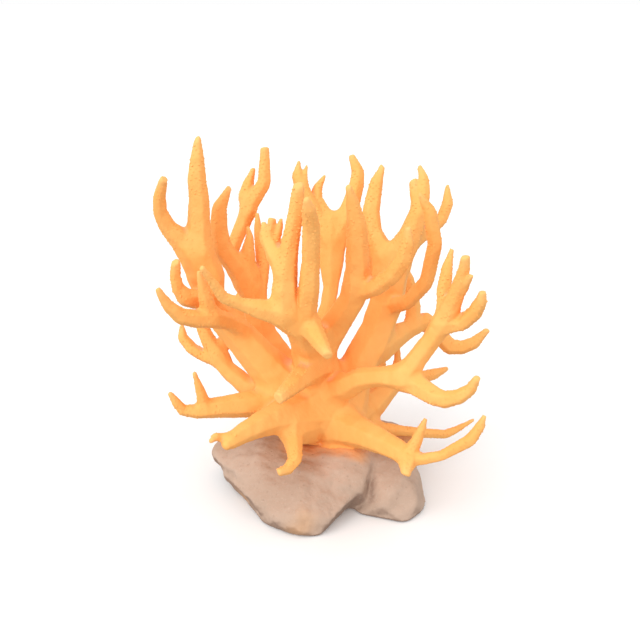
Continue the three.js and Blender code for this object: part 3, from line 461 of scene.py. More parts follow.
class Colony:
    """The distance field of all stems, with the owner and the distance to the tip at each sample."""

    def __init__(self, step, web, flats, stone):
        self.stems = [Stem(*row) for row in STEMS]
        self.nodes = list(dict.fromkeys(s.node for s in self.stems))
        spots = np.vstack([s.path for s in self.stems])
        low = (spots[:, :3] - spots[:, 3:]).min(axis=0) - 4.0
        high = (spots[:, :3] + spots[:, 3:]).max(axis=0) + 4.0
        self.grid = Grid(low, high, step)
        self.owner = np.zeros(self.grid.size, np.int16)
        self.to_tip = np.full(self.grid.size, 60.0, np.float32)
        self.best = np.full(self.grid.size, FAR, np.float32)
        forks = [(lower, upper) for i, upper in enumerate(self.stems) for lower in self.stems[:i]
                 if float(lower.distance(upper.root[None])[0]) < 0.0]
        for lower, upper in reversed(forks):
            left = float(np.linalg.norm(lower.path[-1, :3] - upper.root))
            if left < 0.35 * lower.at[-1]:
                lower.beyond = max(lower.beyond, upper.at[-1] + upper.beyond - left)
        for stem in self.stems:
            self.add_stem(stem, flats)
        for lower, upper in forks:
            self.add_web(lower, upper, web)
        self.seat(stone)

    def add_stem(self, stem, flats):
        """Samples near the stem take its distance, its branch and the distance to its tip."""
        grid = self.grid
        pad = WINDOW + stem.path[:, 3].max()
        stem.first, stem.last = grid.window((stem.path[:, :3] - pad).min(axis=0),
                                            (stem.path[:, :3] + pad).max(axis=0))
        stem.field = np.full(stem.last - stem.first, FAR, np.float32)
        own = self.nodes.index(stem.node)
        below = self.nodes.index(stem.home)
        for k in range(len(stem.path) - 1):
            a, b = stem.path[k], stem.path[k + 1]
            pad = WINDOW + max(a[3], b[3])
            first, last = grid.window(np.minimum(a, b)[:3] - pad, np.maximum(a, b)[:3] + pad)
            points = grid.points(first, last)
            gap, share = cone_distance(points, a, b, stem.sides[k], flats)
            if k == len(stem.path) - 2 and stem.beyond == 0.0:
                gap = np.maximum(gap, (points - b[:3]) @ stem.cut - TIP_FLAT * b[3])
            part = tuple(slice(f - s, l - s) for f, l, s in zip(first, last, stem.first))
            stem.field[part] = np.minimum(stem.field[part], gap)
            run = stem.at[k] + share * (stem.at[k + 1] - stem.at[k])
            place = tuple(slice(f, l) for f, l in zip(first, last))
            nearer = gap < self.best[place]
            self.best[place] = np.where(nearer, gap, self.best[place])
            self.owner[place] = np.where(nearer, np.where(run >= stem.stub, own, below), self.owner[place])
            self.to_tip[place] = np.where(nearer, stem.at[-1] + stem.beyond - run, self.to_tip[place])
        place = tuple(slice(f, l) for f, l in zip(stem.first, stem.last))
        grid.field[place] = np.minimum(grid.field[place], stem.field)

    def add_web(self, lower, upper, web):
        """The two stems' distances blended where their windows meet."""
        first = np.maximum(lower.first, upper.first)
        last = np.minimum(lower.last, upper.last)
        if (last <= first).any():
            return
        a = lower.field[tuple(slice(f - s, l - s) for f, l, s in zip(first, last, lower.first))]
        b = upper.field[tuple(slice(f - s, l - s) for f, l, s in zip(first, last, upper.first))]
        width = float(np.clip(web * upper.path[0, 3], *WEB_WIDTH))
        place = tuple(slice(f, l) for f, l in zip(first, last))
        self.grid.field[place] = np.minimum(self.grid.field[place], soft_min(a, b, width))

    def seat(self, stone):
        """The foot spreads a little over the stone round the trunk, and runs on just under its
        surface, well clear of the floor."""
        grid = self.grid
        top = (grid.low + grid.size * grid.step) * (1, 1, 0) + (0, 0, FOOT_TOP)
        first, last = grid.window(grid.low, top)
        place = tuple(slice(f, l) for f, l in zip(first, last))
        points = grid.points(first, last)
        rock = stone.read(stone.field, points.reshape(-1, 3)).reshape(points.shape[:3])
        high = stone.low + (stone.size - 1) * stone.step
        outside = ((points < stone.low) | (points > high)).any(axis=-1)
        rock = np.where(outside, FAR, rock)
        foot = self.stems[0].path[0]
        away = np.linalg.norm(points[..., :2] - foot[:2], axis=-1)
        width = FOOT_BLEND * np.clip((foot[3] + FOOT_REACH - away) / FOOT_FADE, 0.05, 1.0)
        spread = soft_min(grid.field[place], rock, width)
        joined = np.where(spread < rock - 0.2, np.minimum(grid.field[place], spread), grid.field[place])
        grid.field[place] = np.maximum(np.maximum(joined, -FOOT_DEPTH - rock),
                                       FOOT_BOTTOM - points[..., 2])


def soft_max(a, b, width):
    """Two distances blended over a width: their maximum, raised by up to a quarter of it."""
    return -soft_min(-a, -b, width)


def stone_grid(step):
    """Distance field of the stone: ellipsoids, each about (r - 1) times its mean reach, with broad
    flat chips off their sides, blended together and cut level underneath."""
    centres = np.array([lobe[0] for lobe in STONE_LOBES], float)
    halves = np.array([lobe[1] for lobe in STONE_LOBES], float)
    low = (centres - halves).min(axis=0) - 14.0
    high = (centres + halves).max(axis=0) + 14.0
    low[2] = -4.0
    grid = Grid(low, high, step)
    points = grid.points(np.zeros(3, int), grid.size)
    total = None
    for centre, half, blend, chips in STONE_LOBES:
        half = np.array(half, float)
        scaled = (points - centre) / half
        reach = np.sqrt(np.einsum("...i,...i", scaled, scaled))
        slope = np.sqrt(np.einsum("...i,...i", scaled / half, scaled / half))
        lobe = reach * (reach - 1.0) / np.maximum(slope, 1e-6)
        for way, far in chips:
            way = np.array(way) / np.linalg.norm(way)
            lobe = soft_max(lobe, (points - centre) @ way - far, CHIP_EDGE)
        total = lobe if total is None else soft_min(total, lobe, blend)
    grid.field = np.maximum(total, -points[..., 2]).astype(np.float32)
    return grid


def settled_owners(owner, quads, rounds=6):
    """Each quad takes the branch that most of the quads round it have, over a few rounds, so that
    the seams run clean."""
    count = quads.max() + 1
    for _ in range(rounds):
        best = np.zeros(len(quads))
        chosen = owner.copy()
        for node in np.unique(owner):
            at_corner = np.zeros(count)
            mine = (owner == node).astype(float)
            for k in range(4):
                at_corner += np.bincount(quads[:, k], mine, count)
            score = at_corner[quads].sum(axis=1)
            better = score > best
            best = np.where(better, score, best)
            chosen = np.where(better, node, chosen)
        if (chosen == owner).all():
            break
        owner = chosen
    return owner


def groups_of(links, count):
    """A group number for each point: points joined by links share the lowest of their numbers."""
    label = np.arange(count)
    while True:
        low = np.minimum(label[links[:, 0]], label[links[:, 1]])
        new = label.copy()
        np.minimum.at(new, links[:, 0], low)
        np.minimum.at(new, links[:, 1], low)
        new = new[new]
        if (new == label).all():
            return label
        label = new


def without_islands(owner, quads):
    """Patches cut off from the rest of their branch go to the branch beside them."""
    count = quads.max() + 1
    for _ in range(4):
        pair = np.vstack([quads[:, [k, (k + 1) % 4]] for k in range(4)])
        face = np.tile(np.arange(len(quads)), 4)
        key = np.sort(pair, axis=1)
        key = key[:, 0] * count + key[:, 1]
        order = np.argsort(key, kind="stable")
        same = key[order][1:] == key[order][:-1]
        links = np.stack([face[order][:-1][same], face[order][1:][same]], axis=1)
        alike = owner[links[:, 0]] == owner[links[:, 1]]
        label = groups_of(links[alike], len(quads))
        biggest = {}
        for node in np.unique(owner):
            mine = label[owner == node]
            biggest[node] = np.bincount(mine).argmax()
        stray = label != np.array([biggest[n] for n in owner])
        if not stray.any():
            break
        edge = links[~alike]
        both = np.vstack([edge, edge[:, ::-1]])
        into = both[stray[both[:, 0]] & ~stray[both[:, 1]]]
        patch = np.full(len(quads), -1)
        patch[label[into[:, 0]]] = owner[into[:, 1]]
        owner = np.where(stray & (patch[label] >= 0), patch[label], owner)
    return owner


def hub_of(spots, normals, depth=0.3):
    """A point under the skin at every corner of a rim: from the rim's middle it moves in against
    the worst corner's normal, again and again."""
    hub = spots.mean(axis=0)
    for _ in range(40):
        out = np.einsum("ij,ij->i", hub - spots, normals) + depth
        if out.max() <= 0.0:
            break
        hub = hub - normals[out.argmax()] * out.max()
    return hub


def closed_piece(corners, normals, quads):
    """The quads of one branch with each open rim closed by triangles to a point inside. Gives
    the corners' old numbers, the added points and the triangles."""
    used, local = np.unique(quads, return_inverse=True)
    local = local.reshape(quads.shape)
    sides = np.vstack([local[:, [k, (k + 1) % 4]] for k in range(4)])
    total = len(used)
    forward = sides[:, 0] * total + sides[:, 1]
    backward = sides[:, 1] * total + sides[:, 0]
    rim = sides[~np.isin(forward, backward)]
    if not len(rim):
        return used, local, np.zeros((0, 3)), np.zeros((0, 3), int)
    label = groups_of(rim, total)
    rims = np.unique(label[rim[:, 0]])
    loops = [used[rim[label[rim[:, 0]] == r, 0]] for r in rims]
    middle = np.array([hub_of(corners[loop], normals[loop]) for loop in loops])
    hub = total + np.searchsorted(rims, label[rim[:, 0]])
    return used, local, middle, np.stack([rim[:, 1], rim[:, 0], hub], axis=1)


# Rings of a corallite cup: radius and height as shares of the cup's radius, and how far the ring
# belongs to the rim (1) or the pit (-1).
CUP_RINGS = [(1.22, -0.35, 0.0), (1.0, 0.16, 0.2), (0.76, 0.32, 1.0), (0.48, 0.30, 0.5), (0.30, 0.10, -1.0)]


def cups(places, axes, radii, sides=6):
    """Corallites: rings turned about each axis, closed by a point below and a point in the pit.
    A corner is place + axis * height + (u cos t + v sin t) * radius."""
    count = len(places)
    side = np.cross(axes, np.where(np.abs(axes[:, 2:]) < 0.8, (0.0, 0.0, 1.0), (1.0, 0.0, 0.0)))
    side /= np.linalg.norm(side, axis=1)[:, None]
    across = np.cross(axes, side)
    turn = np.arange(sides) * 2.0 * math.pi / sides
    ring = np.array(CUP_RINGS)
    outward = (side[:, None, :] * np.cos(turn)[None, :, None]
               + across[:, None, :] * np.sin(turn)[None, :, None])
    scale = radii[:, None, None, None]
    body = (places[:, None, None, :] + axes[:, None, None, :] * ring[None, :, 1, None, None] * scale
            + outward[:, None, :, :] * ring[None, :, 0, None, None] * scale)
    under = places - axes * radii[:, None] * 0.35
    pit = places + axes * radii[:, None] * 0.05
    corners = np.concatenate([under[:, None], body.reshape(count, -1, 3), pit[:, None]], axis=1)
    rim = np.concatenate([[0.0], np.repeat(ring[:, 2], sides), [-1.0]])
    k = np.arange(sides)
    nxt = (k + 1) % sides
    levels = len(ring)
    fan_low = np.stack([np.zeros(sides, int), 1 + nxt, 1 + k], axis=1)
    top = 1 + (levels - 1) * sides
    fan_top = np.stack([top + k, top + nxt, np.full(sides, 1 + levels * sides)], axis=1)
    wall = np.concatenate([np.stack([1 + r * sides + k, 1 + r * sides + nxt, 1 + (r + 1) * sides + nxt,
                                     1 + (r + 1) * sides + k], axis=1) for r in range(levels - 1)])
    per = corners.shape[1]
    shift = (np.arange(count) * per)[:, None, None]
    tris = (np.vstack([fan_low, fan_top])[None] + shift).reshape(-1, 3)
    quads = (wall[None] + shift).reshape(-1, 4)
    return corners.reshape(-1, 3), quads, tris, np.tile(rim, count), per


def cup_places(colony, spacing):
    """Places for corallites: points on each stem in a golden-angle spiral, one for each square of
    the spacing, moved out along their own directions to the skin."""
    grid = colony.grid
    rng = np.random.default_rng(41)
    out = []
    for stem in colony.stems:
        length = stem.at[-1]
        fine = np.linspace(0.0, length, max(int(length / 0.25), 8))
        radius = np.interp(fine, stem.at, stem.path[:, 3])
        number = np.cumsum(2.0 * math.pi * radius * (fine[1] - fine[0])) / spacing ** 2
        total = int(number[-1])
        if total < 2:
            continue
        run = np.interp(np.arange(total) + 0.5, number, fine)
        core = np.stack([np.interp(run, stem.at, stem.path[:, k]) for k in range(3)], axis=1)
        thick = np.interp(run, stem.at, stem.path[:, 3])
        ahead = np.stack([np.interp(run + 1.0, stem.at, stem.path[:, k]) for k in range(3)], axis=1)
        behind = np.stack([np.interp(run - 1.0, stem.at, stem.path[:, k]) for k in range(3)], axis=1)
        way = ahead - behind
        way /= np.linalg.norm(way, axis=1)[:, None]
        side = np.cross(way, (0.3, 0.9, 0.1))
        side /= np.linalg.norm(side, axis=1)[:, None]
        across = np.cross(way, side)
        turn = np.arange(total) * GOLDEN + rng.uniform(0.0, 0.35, total)
        out_way = side * np.cos(turn)[:, None] + across * np.sin(turn)[:, None]
        steps = np.linspace(0.5, 1.55, 28)
        tries = core[:, None] + out_way[:, None] * (thick[:, None] * steps)[..., None]
        gap = grid.read(grid.field, tries.reshape(-1, 3)).reshape(total, -1)
        crossing = (gap[:, :-1] <= 0.0) & (gap[:, 1:] > 0.0)
        found = crossing.any(axis=1) & (gap[:, 0] <= 0.0)
        k = crossing.argmax(axis=1)
        row = np.arange(total)
        share = gap[row, k] / np.minimum(gap[row, k] - gap[row, k + 1], -1e-6)
        place = tries[row, k] + (tries[row, k + 1] - tries[row, k]) * np.clip(share, 0, 1)[:, None]
        out.append(np.hstack([place, way, (length - run)[:, None], thick[:, None]])[found])
    return np.vstack(out)


# ---------------------------------------------------------------- meshes and materials


def put_mesh(name, corners, faces, normals, marks, material, node):
    """A piece from corners in mm, arrays of faces, a normal and some named values per corner. It
    rides on the root body and stands for its CAD node."""
    mesh = bpy.data.meshes.new(name)
    sizes = np.concatenate([np.full(len(f), f.shape[1]) for f in faces])
    index = np.concatenate([f.ravel() for f in faces]).astype(np.int32)
    starts = np.concatenate([[0], np.cumsum(sizes)[:-1]]).astype(np.int32)
    mesh.vertices.add(len(corners))
    mesh.vertices.foreach_set("co", (corners * MM).astype(np.float32).ravel())
    mesh.loops.add(len(index))
    mesh.polygons.add(len(sizes))
    mesh.polygons.foreach_set("loop_start", starts)
    mesh.loops.foreach_set("vertex_index", index)
    mesh.polygons.foreach_set("use_smooth", np.ones(len(sizes), bool))
    for mark, values in marks.items():
        layer = mesh.attributes.new(mark, "FLOAT", "POINT")
        layer.data.foreach_set("value", np.asarray(values, np.float32))
    mesh.update(calc_edges=True)
    if mesh.validate():
        raise RuntimeError(f"the mesh of {name} has broken faces")
    mesh.normals_split_custom_set_from_vertices(normals.tolist())
    mesh.materials.append(material)
    piece = bpy.data.objects.new(name, mesh)
    bpy.context.scene.collection.objects.link(piece)
    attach(piece, "root")
    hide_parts(node)
    return piece


class Wire:
    """A socket's value; the operators on it add Math nodes."""

    def __init__(self, paint, socket):
        self.paint, self.socket = paint, socket

    def _math(self, operation, first, second):
        return self.paint.node("ShaderNodeMath", {"operation": operation}, {0: first, 1: second})

    def __add__(self, other):
        return self._math("ADD", self, other)

    def __sub__(self, other):
        return self._math("SUBTRACT", self, other)

    def __rsub__(self, other):
        return self._math("SUBTRACT", other, self)

    def __mul__(self, other):
        return self._math("MULTIPLY", self, other)


class Paint:
    """A material under construction: one method adds any node, and a few name the common ones."""

    def __init__(self, name):
        self.material = bpy.data.materials.new(name)
        self.material.use_nodes = True
        self.tree = self.material.node_tree
        self.shader = next(n for n in self.tree.nodes if n.type == "BSDF_PRINCIPLED")
        self.place = self.node("ShaderNodeTexCoord", {}, {}, "Object")

    def node(self, kind, settings, sockets, output=0):
        """Adds a node: its settings first, then the values or links of its sockets."""
        node = self.tree.nodes.new(kind)
        for name, value in settings.items():
            setattr(node, name, value)
        for name, value in sockets.items():
            self.feed(node.inputs[name], value)
        return Wire(self, node.outputs[output])

    def feed(self, socket, value):
        """Links a wire to a socket, or sets the socket's own value."""
        if isinstance(value, Wire):
            self.tree.links.new(value.socket, socket)
        else:
            socket.default_value = value

    def noise(self, size, detail=3.0, rough=0.55, warp=0.0, seed=0.0):
        """Noise between 0 and 1 whose lumps are about a given size (mm) across."""
        return self.node("ShaderNodeTexNoise", {"noise_dimensions": "4D"},
                         {"Vector": self.place, "Scale": 1000.0 / size, "Detail": detail,
                          "Roughness": rough, "Distortion": warp, "W": seed}, "Fac")

    def mark(self, name):
        """A named value of the mesh."""
        return self.node("ShaderNodeAttribute", {"attribute_name": name}, {}, "Fac")

    def spread(self, value, low, high, to_low=0.0, to_high=1.0):
        """A value moved smoothly from one range to another and held at its ends."""
        return self.node("ShaderNodeMapRange", {"interpolation_type": "SMOOTHSTEP"},
                         {"Value": value, "From Min": low, "From Max": high, "To Min": to_low,
                          "To Max": to_high}, "Result")

    def mix(self, share, first, second):
        """Two colours mixed by a share."""
        node = self.tree.nodes.new("ShaderNodeMix")
        node.data_type = "RGBA"
        for socket, value in zip((node.inputs[0], node.inputs[6], node.inputs[7]),
                                 (share, first, second)):
            if not isinstance(value, (Wire, float)):
                value = (*value[:3], 1.0)
            self.feed(socket, value)
        return Wire(self, node.outputs[2])

    def bump(self, height, reach, strength=1.0, under=None):
        """Relief from a height, reach mm deep, on top of another relief."""
        sockets = {"Height": height, "Distance": reach * MM, "Strength": strength}
        if under is not None:
            sockets["Normal"] = under
        return self.node("ShaderNodeBump", {}, sockets, "Normal")

    def finish(self, colour, roughness, normal, **fixed):
        """Feeds the shader."""
        self.feed(self.shader.inputs["Base Color"], colour)
        self.feed(self.shader.inputs["Roughness"], roughness)
        self.feed(self.shader.inputs["Normal"], normal)
        for name, value in fixed.items():
            self.shader.inputs[name.replace("_", " ").title().replace("Ior", "IOR")].default_value = value
        return self.material


def coral_material(look):
    """Living coral skin: orange tissue, paler at growing tips and cup rims and on raised grain. Painted
    shade deepens it in forks, hollows and cup pits; painted light pales the upward insides of forks."""
    paint = Paint("coral_skin")
    hollow_shade, web, tip, rim = (paint.mark(name) for name in ("hollow_shade", "web", "tip", "rim"))
    patches = paint.noise(26.0, 2.0, 0.5, 0.0, 1.3)
    cloud = paint.noise(7.0, 3.0, 0.6, 0.4, 4.1)
    grain = paint.noise(1.1, 3.0, 0.6, 0.0, 7.7)
    colour = paint.mix(paint.spread(patches + cloud * 0.5, 0.55, 0.95), look.tissue, look.light_tissue)
    # Painted shade: deeper orange in forks and hollows, where the skin is closed in.
    colour = paint.mix(paint.spread(hollow_shade, 0.1, 1.0) * 0.6, colour, look.shade_tissue)
    # Painted light: paler, pinker colour on the upward-facing insides of forks.
    colour = paint.mix(paint.spread(web, 0.12, 0.6) * 0.8, colour, look.lit_web_tissue)
    colour = paint.mix(paint.spread(tip, 0.45, 1.0) * 0.45, colour, look.tip_tissue)
    colour = paint.mix(paint.spread(rim, 0.1, 1.0) * 0.1, colour, look.tip_tissue)
    # Painted shade: deeper orange down in the corallites' pits.
    colour = paint.mix(paint.spread(rim, -0.1, -1.0) * 0.12, colour, look.shade_tissue)
    colour = paint.mix(paint.spread(grain, 0.55, 0.8) * 0.15, colour, look.tip_tissue)
    rough = paint.spread(cloud + grain * 0.5, 0.4, 1.1, 0.58, 0.8)
    relief = paint.bump(cloud, 0.35, 0.5)
    relief = paint.bump(grain, 0.22, 0.5, relief)
    return paint.finish(colour, rough, relief, specular_ior_level=0.3, coat_weight=0.0)


def stone_material(look):
    """Worn beige stone: cloudy brown patches, fine sandy grain and ochre stains, with painted shade in
    its pits, hollows and undersides; round the colony's foot, a coral crust plus painted orange bounce
    light."""
    paint = Paint("worn_stone")
    crust_and_bounce_light, hollow_shade, stain, under = (paint.mark(name) for name in ("crust_and_bounce_light", "hollow_shade", "stain", "under"))
    patches = paint.noise(38.0, 3.0, 0.55, 0.3, 2.2)
    cloud = paint.noise(11.0, 4.0, 0.6, 0.5, 5.5)
    grain = paint.noise(1.3, 4.0, 0.65, 0.0, 9.1)
    pits = paint.node("ShaderNodeTexVoronoi", {"feature": "F1"},
                      {"Vector": paint.place, "Scale": 1000.0 / 4.2, "Randomness": 1.0}, "Distance")
    pit = paint.spread(pits + cloud * 0.5, 0.22, 0.5, 1.0, 0.0)
    colour = paint.mix(paint.spread(patches + cloud * 0.4, 0.5, 0.95), look.brown, look.beige)
    # Painted shade in the stone's hollows.
    colour = paint.mix(paint.spread(hollow_shade, 0.15, 0.9) * 0.7, colour, look.shaded)
    # Painted shade on surfaces that face down.
    colour = paint.mix(paint.spread(under + cloud * 0.15, 0.25, 0.75) * 0.7, colour, look.shaded)
    # Painted shade in the pits.
    colour = paint.mix(pit * 0.22, colour, look.shaded)
    colour = paint.mix(paint.spread(grain, 0.5, 0.75) * 0.3, colour, look.pale)
    colour = paint.mix(stain * 0.45, colour, look.ochre)
    # Orange tint round the foot: a thin coral crust plus painted orange light reflected from the coral.
    edge = paint.spread(crust_and_bounce_light + cloud * 0.35, 0.55, 1.2)
    colour = paint.mix(edge * 0.85, colour, look.crust_and_bounce_light)
    rough = paint.spread(grain + cloud * 0.4, 0.4, 1.1, 0.72, 0.92)
    relief = paint.bump(1.0 - pit, 0.5, 0.5)
    relief = paint.bump(cloud, 0.9, 0.5, relief)
    relief = paint.bump(grain, 0.3, 0.6, relief)
    return paint.finish(colour, rough, relief, specular_ior_level=0.25)


# ---------------------------------------------------------------- settings


def length_setting(name, description, default, low, high):
    """A length in millimetres."""
    return bpy.props.FloatProperty(name=name, description=description, default=default, min=low,
                                   max=high, unit="NONE")


def number_setting(name, description, default, low=0.0, high=100.0):
    """A plain number."""
    return bpy.props.FloatProperty(name=name, description=description, default=default, min=low, max=high)


def colour_setting(name, description, default):
    """A linear colour."""
    return bpy.props.FloatVectorProperty(name=name, description=description, default=default, size=3,
                                         min=0.0, max=1.0, subtype="COLOR")


class CORAL_PG_stone(bpy.types.PropertyGroup):
    """Settings of the stone."""

    step: length_setting("Step", "Sample spacing of the stone's surface (mm)", 1.3, 0.8, 4.0)
    wear: length_setting("Wear", "Height of the stone's worn lumps (mm)", 0.9, 0.0, 3.0)
    beige: colour_setting("Beige", "Main colour of the stone", (0.56, 0.40, 0.305))
    brown: colour_setting("Brown", "Its darker patches", (0.47, 0.325, 0.24))
    pale: colour_setting("Pale", "Its sandy grain", (0.66, 0.51, 0.41))
    shaded: colour_setting("Shaded", "Its pits and hollows", (0.26, 0.155, 0.11))
    ochre: colour_setting("Ochre", "The stains on it", (0.78, 0.42, 0.20))
    # The orange tint round the foot: a thin coral crust plus painted orange light reflected from the coral.
    crust_and_bounce_light: colour_setting("Crust", "The thin coral crust on it", (0.86, 0.41, 0.15))


class CORAL_PG_colony(bpy.types.PropertyGroup):
    """Settings of the colony."""

    step: length_setting("Step", "Sample spacing of the skin (mm)", 1.0, 0.7, 3.0)
    web: number_setting("Web", "How far forks fill in, in root radii", 0.6, 0.1, 2.0)
    flats: number_setting("Flats", "How far the stems lean toward six sides", 0.75, 0.0, 1.0)
    swell: length_setting("Swell", "Height of the skin's soft lumps (mm)", 0.28, 0.0, 2.0)
    cup_spacing: length_setting("Cup spacing", "Distance between corallites (mm)", 3.3, 2.0, 9.0)
    cup_size: length_setting("Cup size", "Outer radius of a corallite (mm)", 0.85, 0.3, 3.0)
    tissue: colour_setting("Tissue", "Main colour of the skin", (0.98, 0.445, 0.115))
    light_tissue: colour_setting("Light tissue", "Its paler patches", (0.98, 0.485, 0.14))
    # Colour of the painted shade in forks, hollows and cup pits.
    shade_tissue: colour_setting("Deep tissue", "Its forks and pits", (0.90, 0.31, 0.06))
    # Colour of the painted light on the upward-facing insides of forks.
    lit_web_tissue: colour_setting("Web tissue", "The thin skin on top of its forks", (0.97, 0.47, 0.23))
    tip_tissue: colour_setting("Tip tissue", "Its growing tips and cup rims", (0.97, 0.54, 0.20))


class CORAL_PG_stage(bpy.types.PropertyGroup):
    """Settings of the camera, the light and the floor."""

    lens: bpy.props.FloatProperty(name="Lens", description="Focal length of the camera", default=50.0,
                                  unit="CAMERA")
    distance: bpy.props.FloatProperty(
        name="Distance", description="From the camera to the point it looks at", default=0.667,
        unit="LENGTH", subtype="DISTANCE")
    elevation: bpy.props.FloatProperty(
        name="Elevation", description="Height of the camera above the horizon",
        default=math.radians(20.0), unit="ROTATION", subtype="ANGLE")
    target: bpy.props.FloatVectorProperty(
        name="Target", description="Point that the camera looks at", default=(0.0, 0.0, 0.140),
        unit="LENGTH", subtype="TRANSLATION")
    sky: number_setting("Sky", "Strength of the even light", 1.0)
    under: number_setting("Under", "Strength of the light from below", 0.38)
    key: number_setting("Key light", "Strength of the main soft light", 1.7)
    floor: colour_setting("Floor", "Colour of the floor", (0.93, 0.93, 0.93))


# ---------------------------------------------------------------- operators


def hollow_of(grid, corners, normals, reaches):
    """How closed-in each corner is: the mean share by which the distance at a reach along the
    normal falls short of that reach."""
    total = 0.0
    for reach in reaches:
        gap = grid.read(grid.field, corners + normals * reach)
        total = total + np.clip(1.0 - gap / reach, 0.0, 2.0)
    return total / len(reaches)


class Shared:
    """Fields that the stone and the colony both need, worked out once."""

    stone = None
    colony = None

    @classmethod
    def rock(cls, step):
        """The stone's field."""
        if cls.stone is None:
            cls.stone = stone_grid(step * (1.0))
        return cls.stone

    @classmethod
    def coral(cls):
        """The colony's field."""
        if cls.colony is None:
            look = bpy.context.scene.coral_colony
            rock = cls.rock(bpy.context.scene.coral_stone.step)
            step = look.step * 1.0
            cls.colony = Colony(step, look.web, look.flats, rock)
        return cls.colony


class CORAL_OT_stone(bpy.types.Operator):
    """Make the stone that the colony grows on"""

    bl_idname = "coral.stone"
    bl_label = "Make Stone"

    def execute(self, context):
        look = context.scene.coral_stone
        grid = Shared.rock(look.step)
        corners, quads = grid.surface()
        corners = smoothed(corners, quads, 3)
        normals = corner_normals(corners, quads)
        free = np.clip(corners[:, 2] / 4.0, 0.0, 1.0)
        lumps = waves(corners, 17.0, 5) + 0.45 * waves(corners, 7.0, 6) + 0.2 * waves(corners, 3.6, 8)
        corners += normals * (look.wear * 0.55 * free * (lumps - 0.4))[:, None]
        corners[:, 2] = np.maximum(corners[:, 2], 0.0)
        normals = corner_normals(corners, quads)
        colony = Shared.coral()
        low, high = colony.grid.low, colony.grid.low + (colony.grid.size - 1) * colony.grid.step
        inside = ((corners > low) & (corners < high)).all(axis=1)
        gap = np.where(inside, colony.grid.read(colony.grid.field, corners + normals * 1.0), FAR)
        stain = sum(np.exp(-((corners - spot[:3]) ** 2).sum(axis=1) / spot[3] ** 2)
                    for spot in np.array(STONE_STAINS, float))
        # Marks: painted shade in hollows and on undersides, and an orange tint round the foot that is a
        # coral crust plus painted orange light reflected from the coral.
        marks = {
            "stain": stain,
            "crust_and_bounce_light": np.clip(1.0 - (gap - 1.0) / CRUST_AND_BOUNCE_LIGHT_REACH, 0.0, 1.0),
            "hollow_shade": hollow_of(grid, corners, normals, (5.0, 11.0)),
            "under": np.clip(0.3 - normals[:, 2], 0.0, 1.0),
        }
        put_mesh("stone_surface", corners, [quads], normals, marks, stone_material(look), "stone")
        return {"FINISHED"}


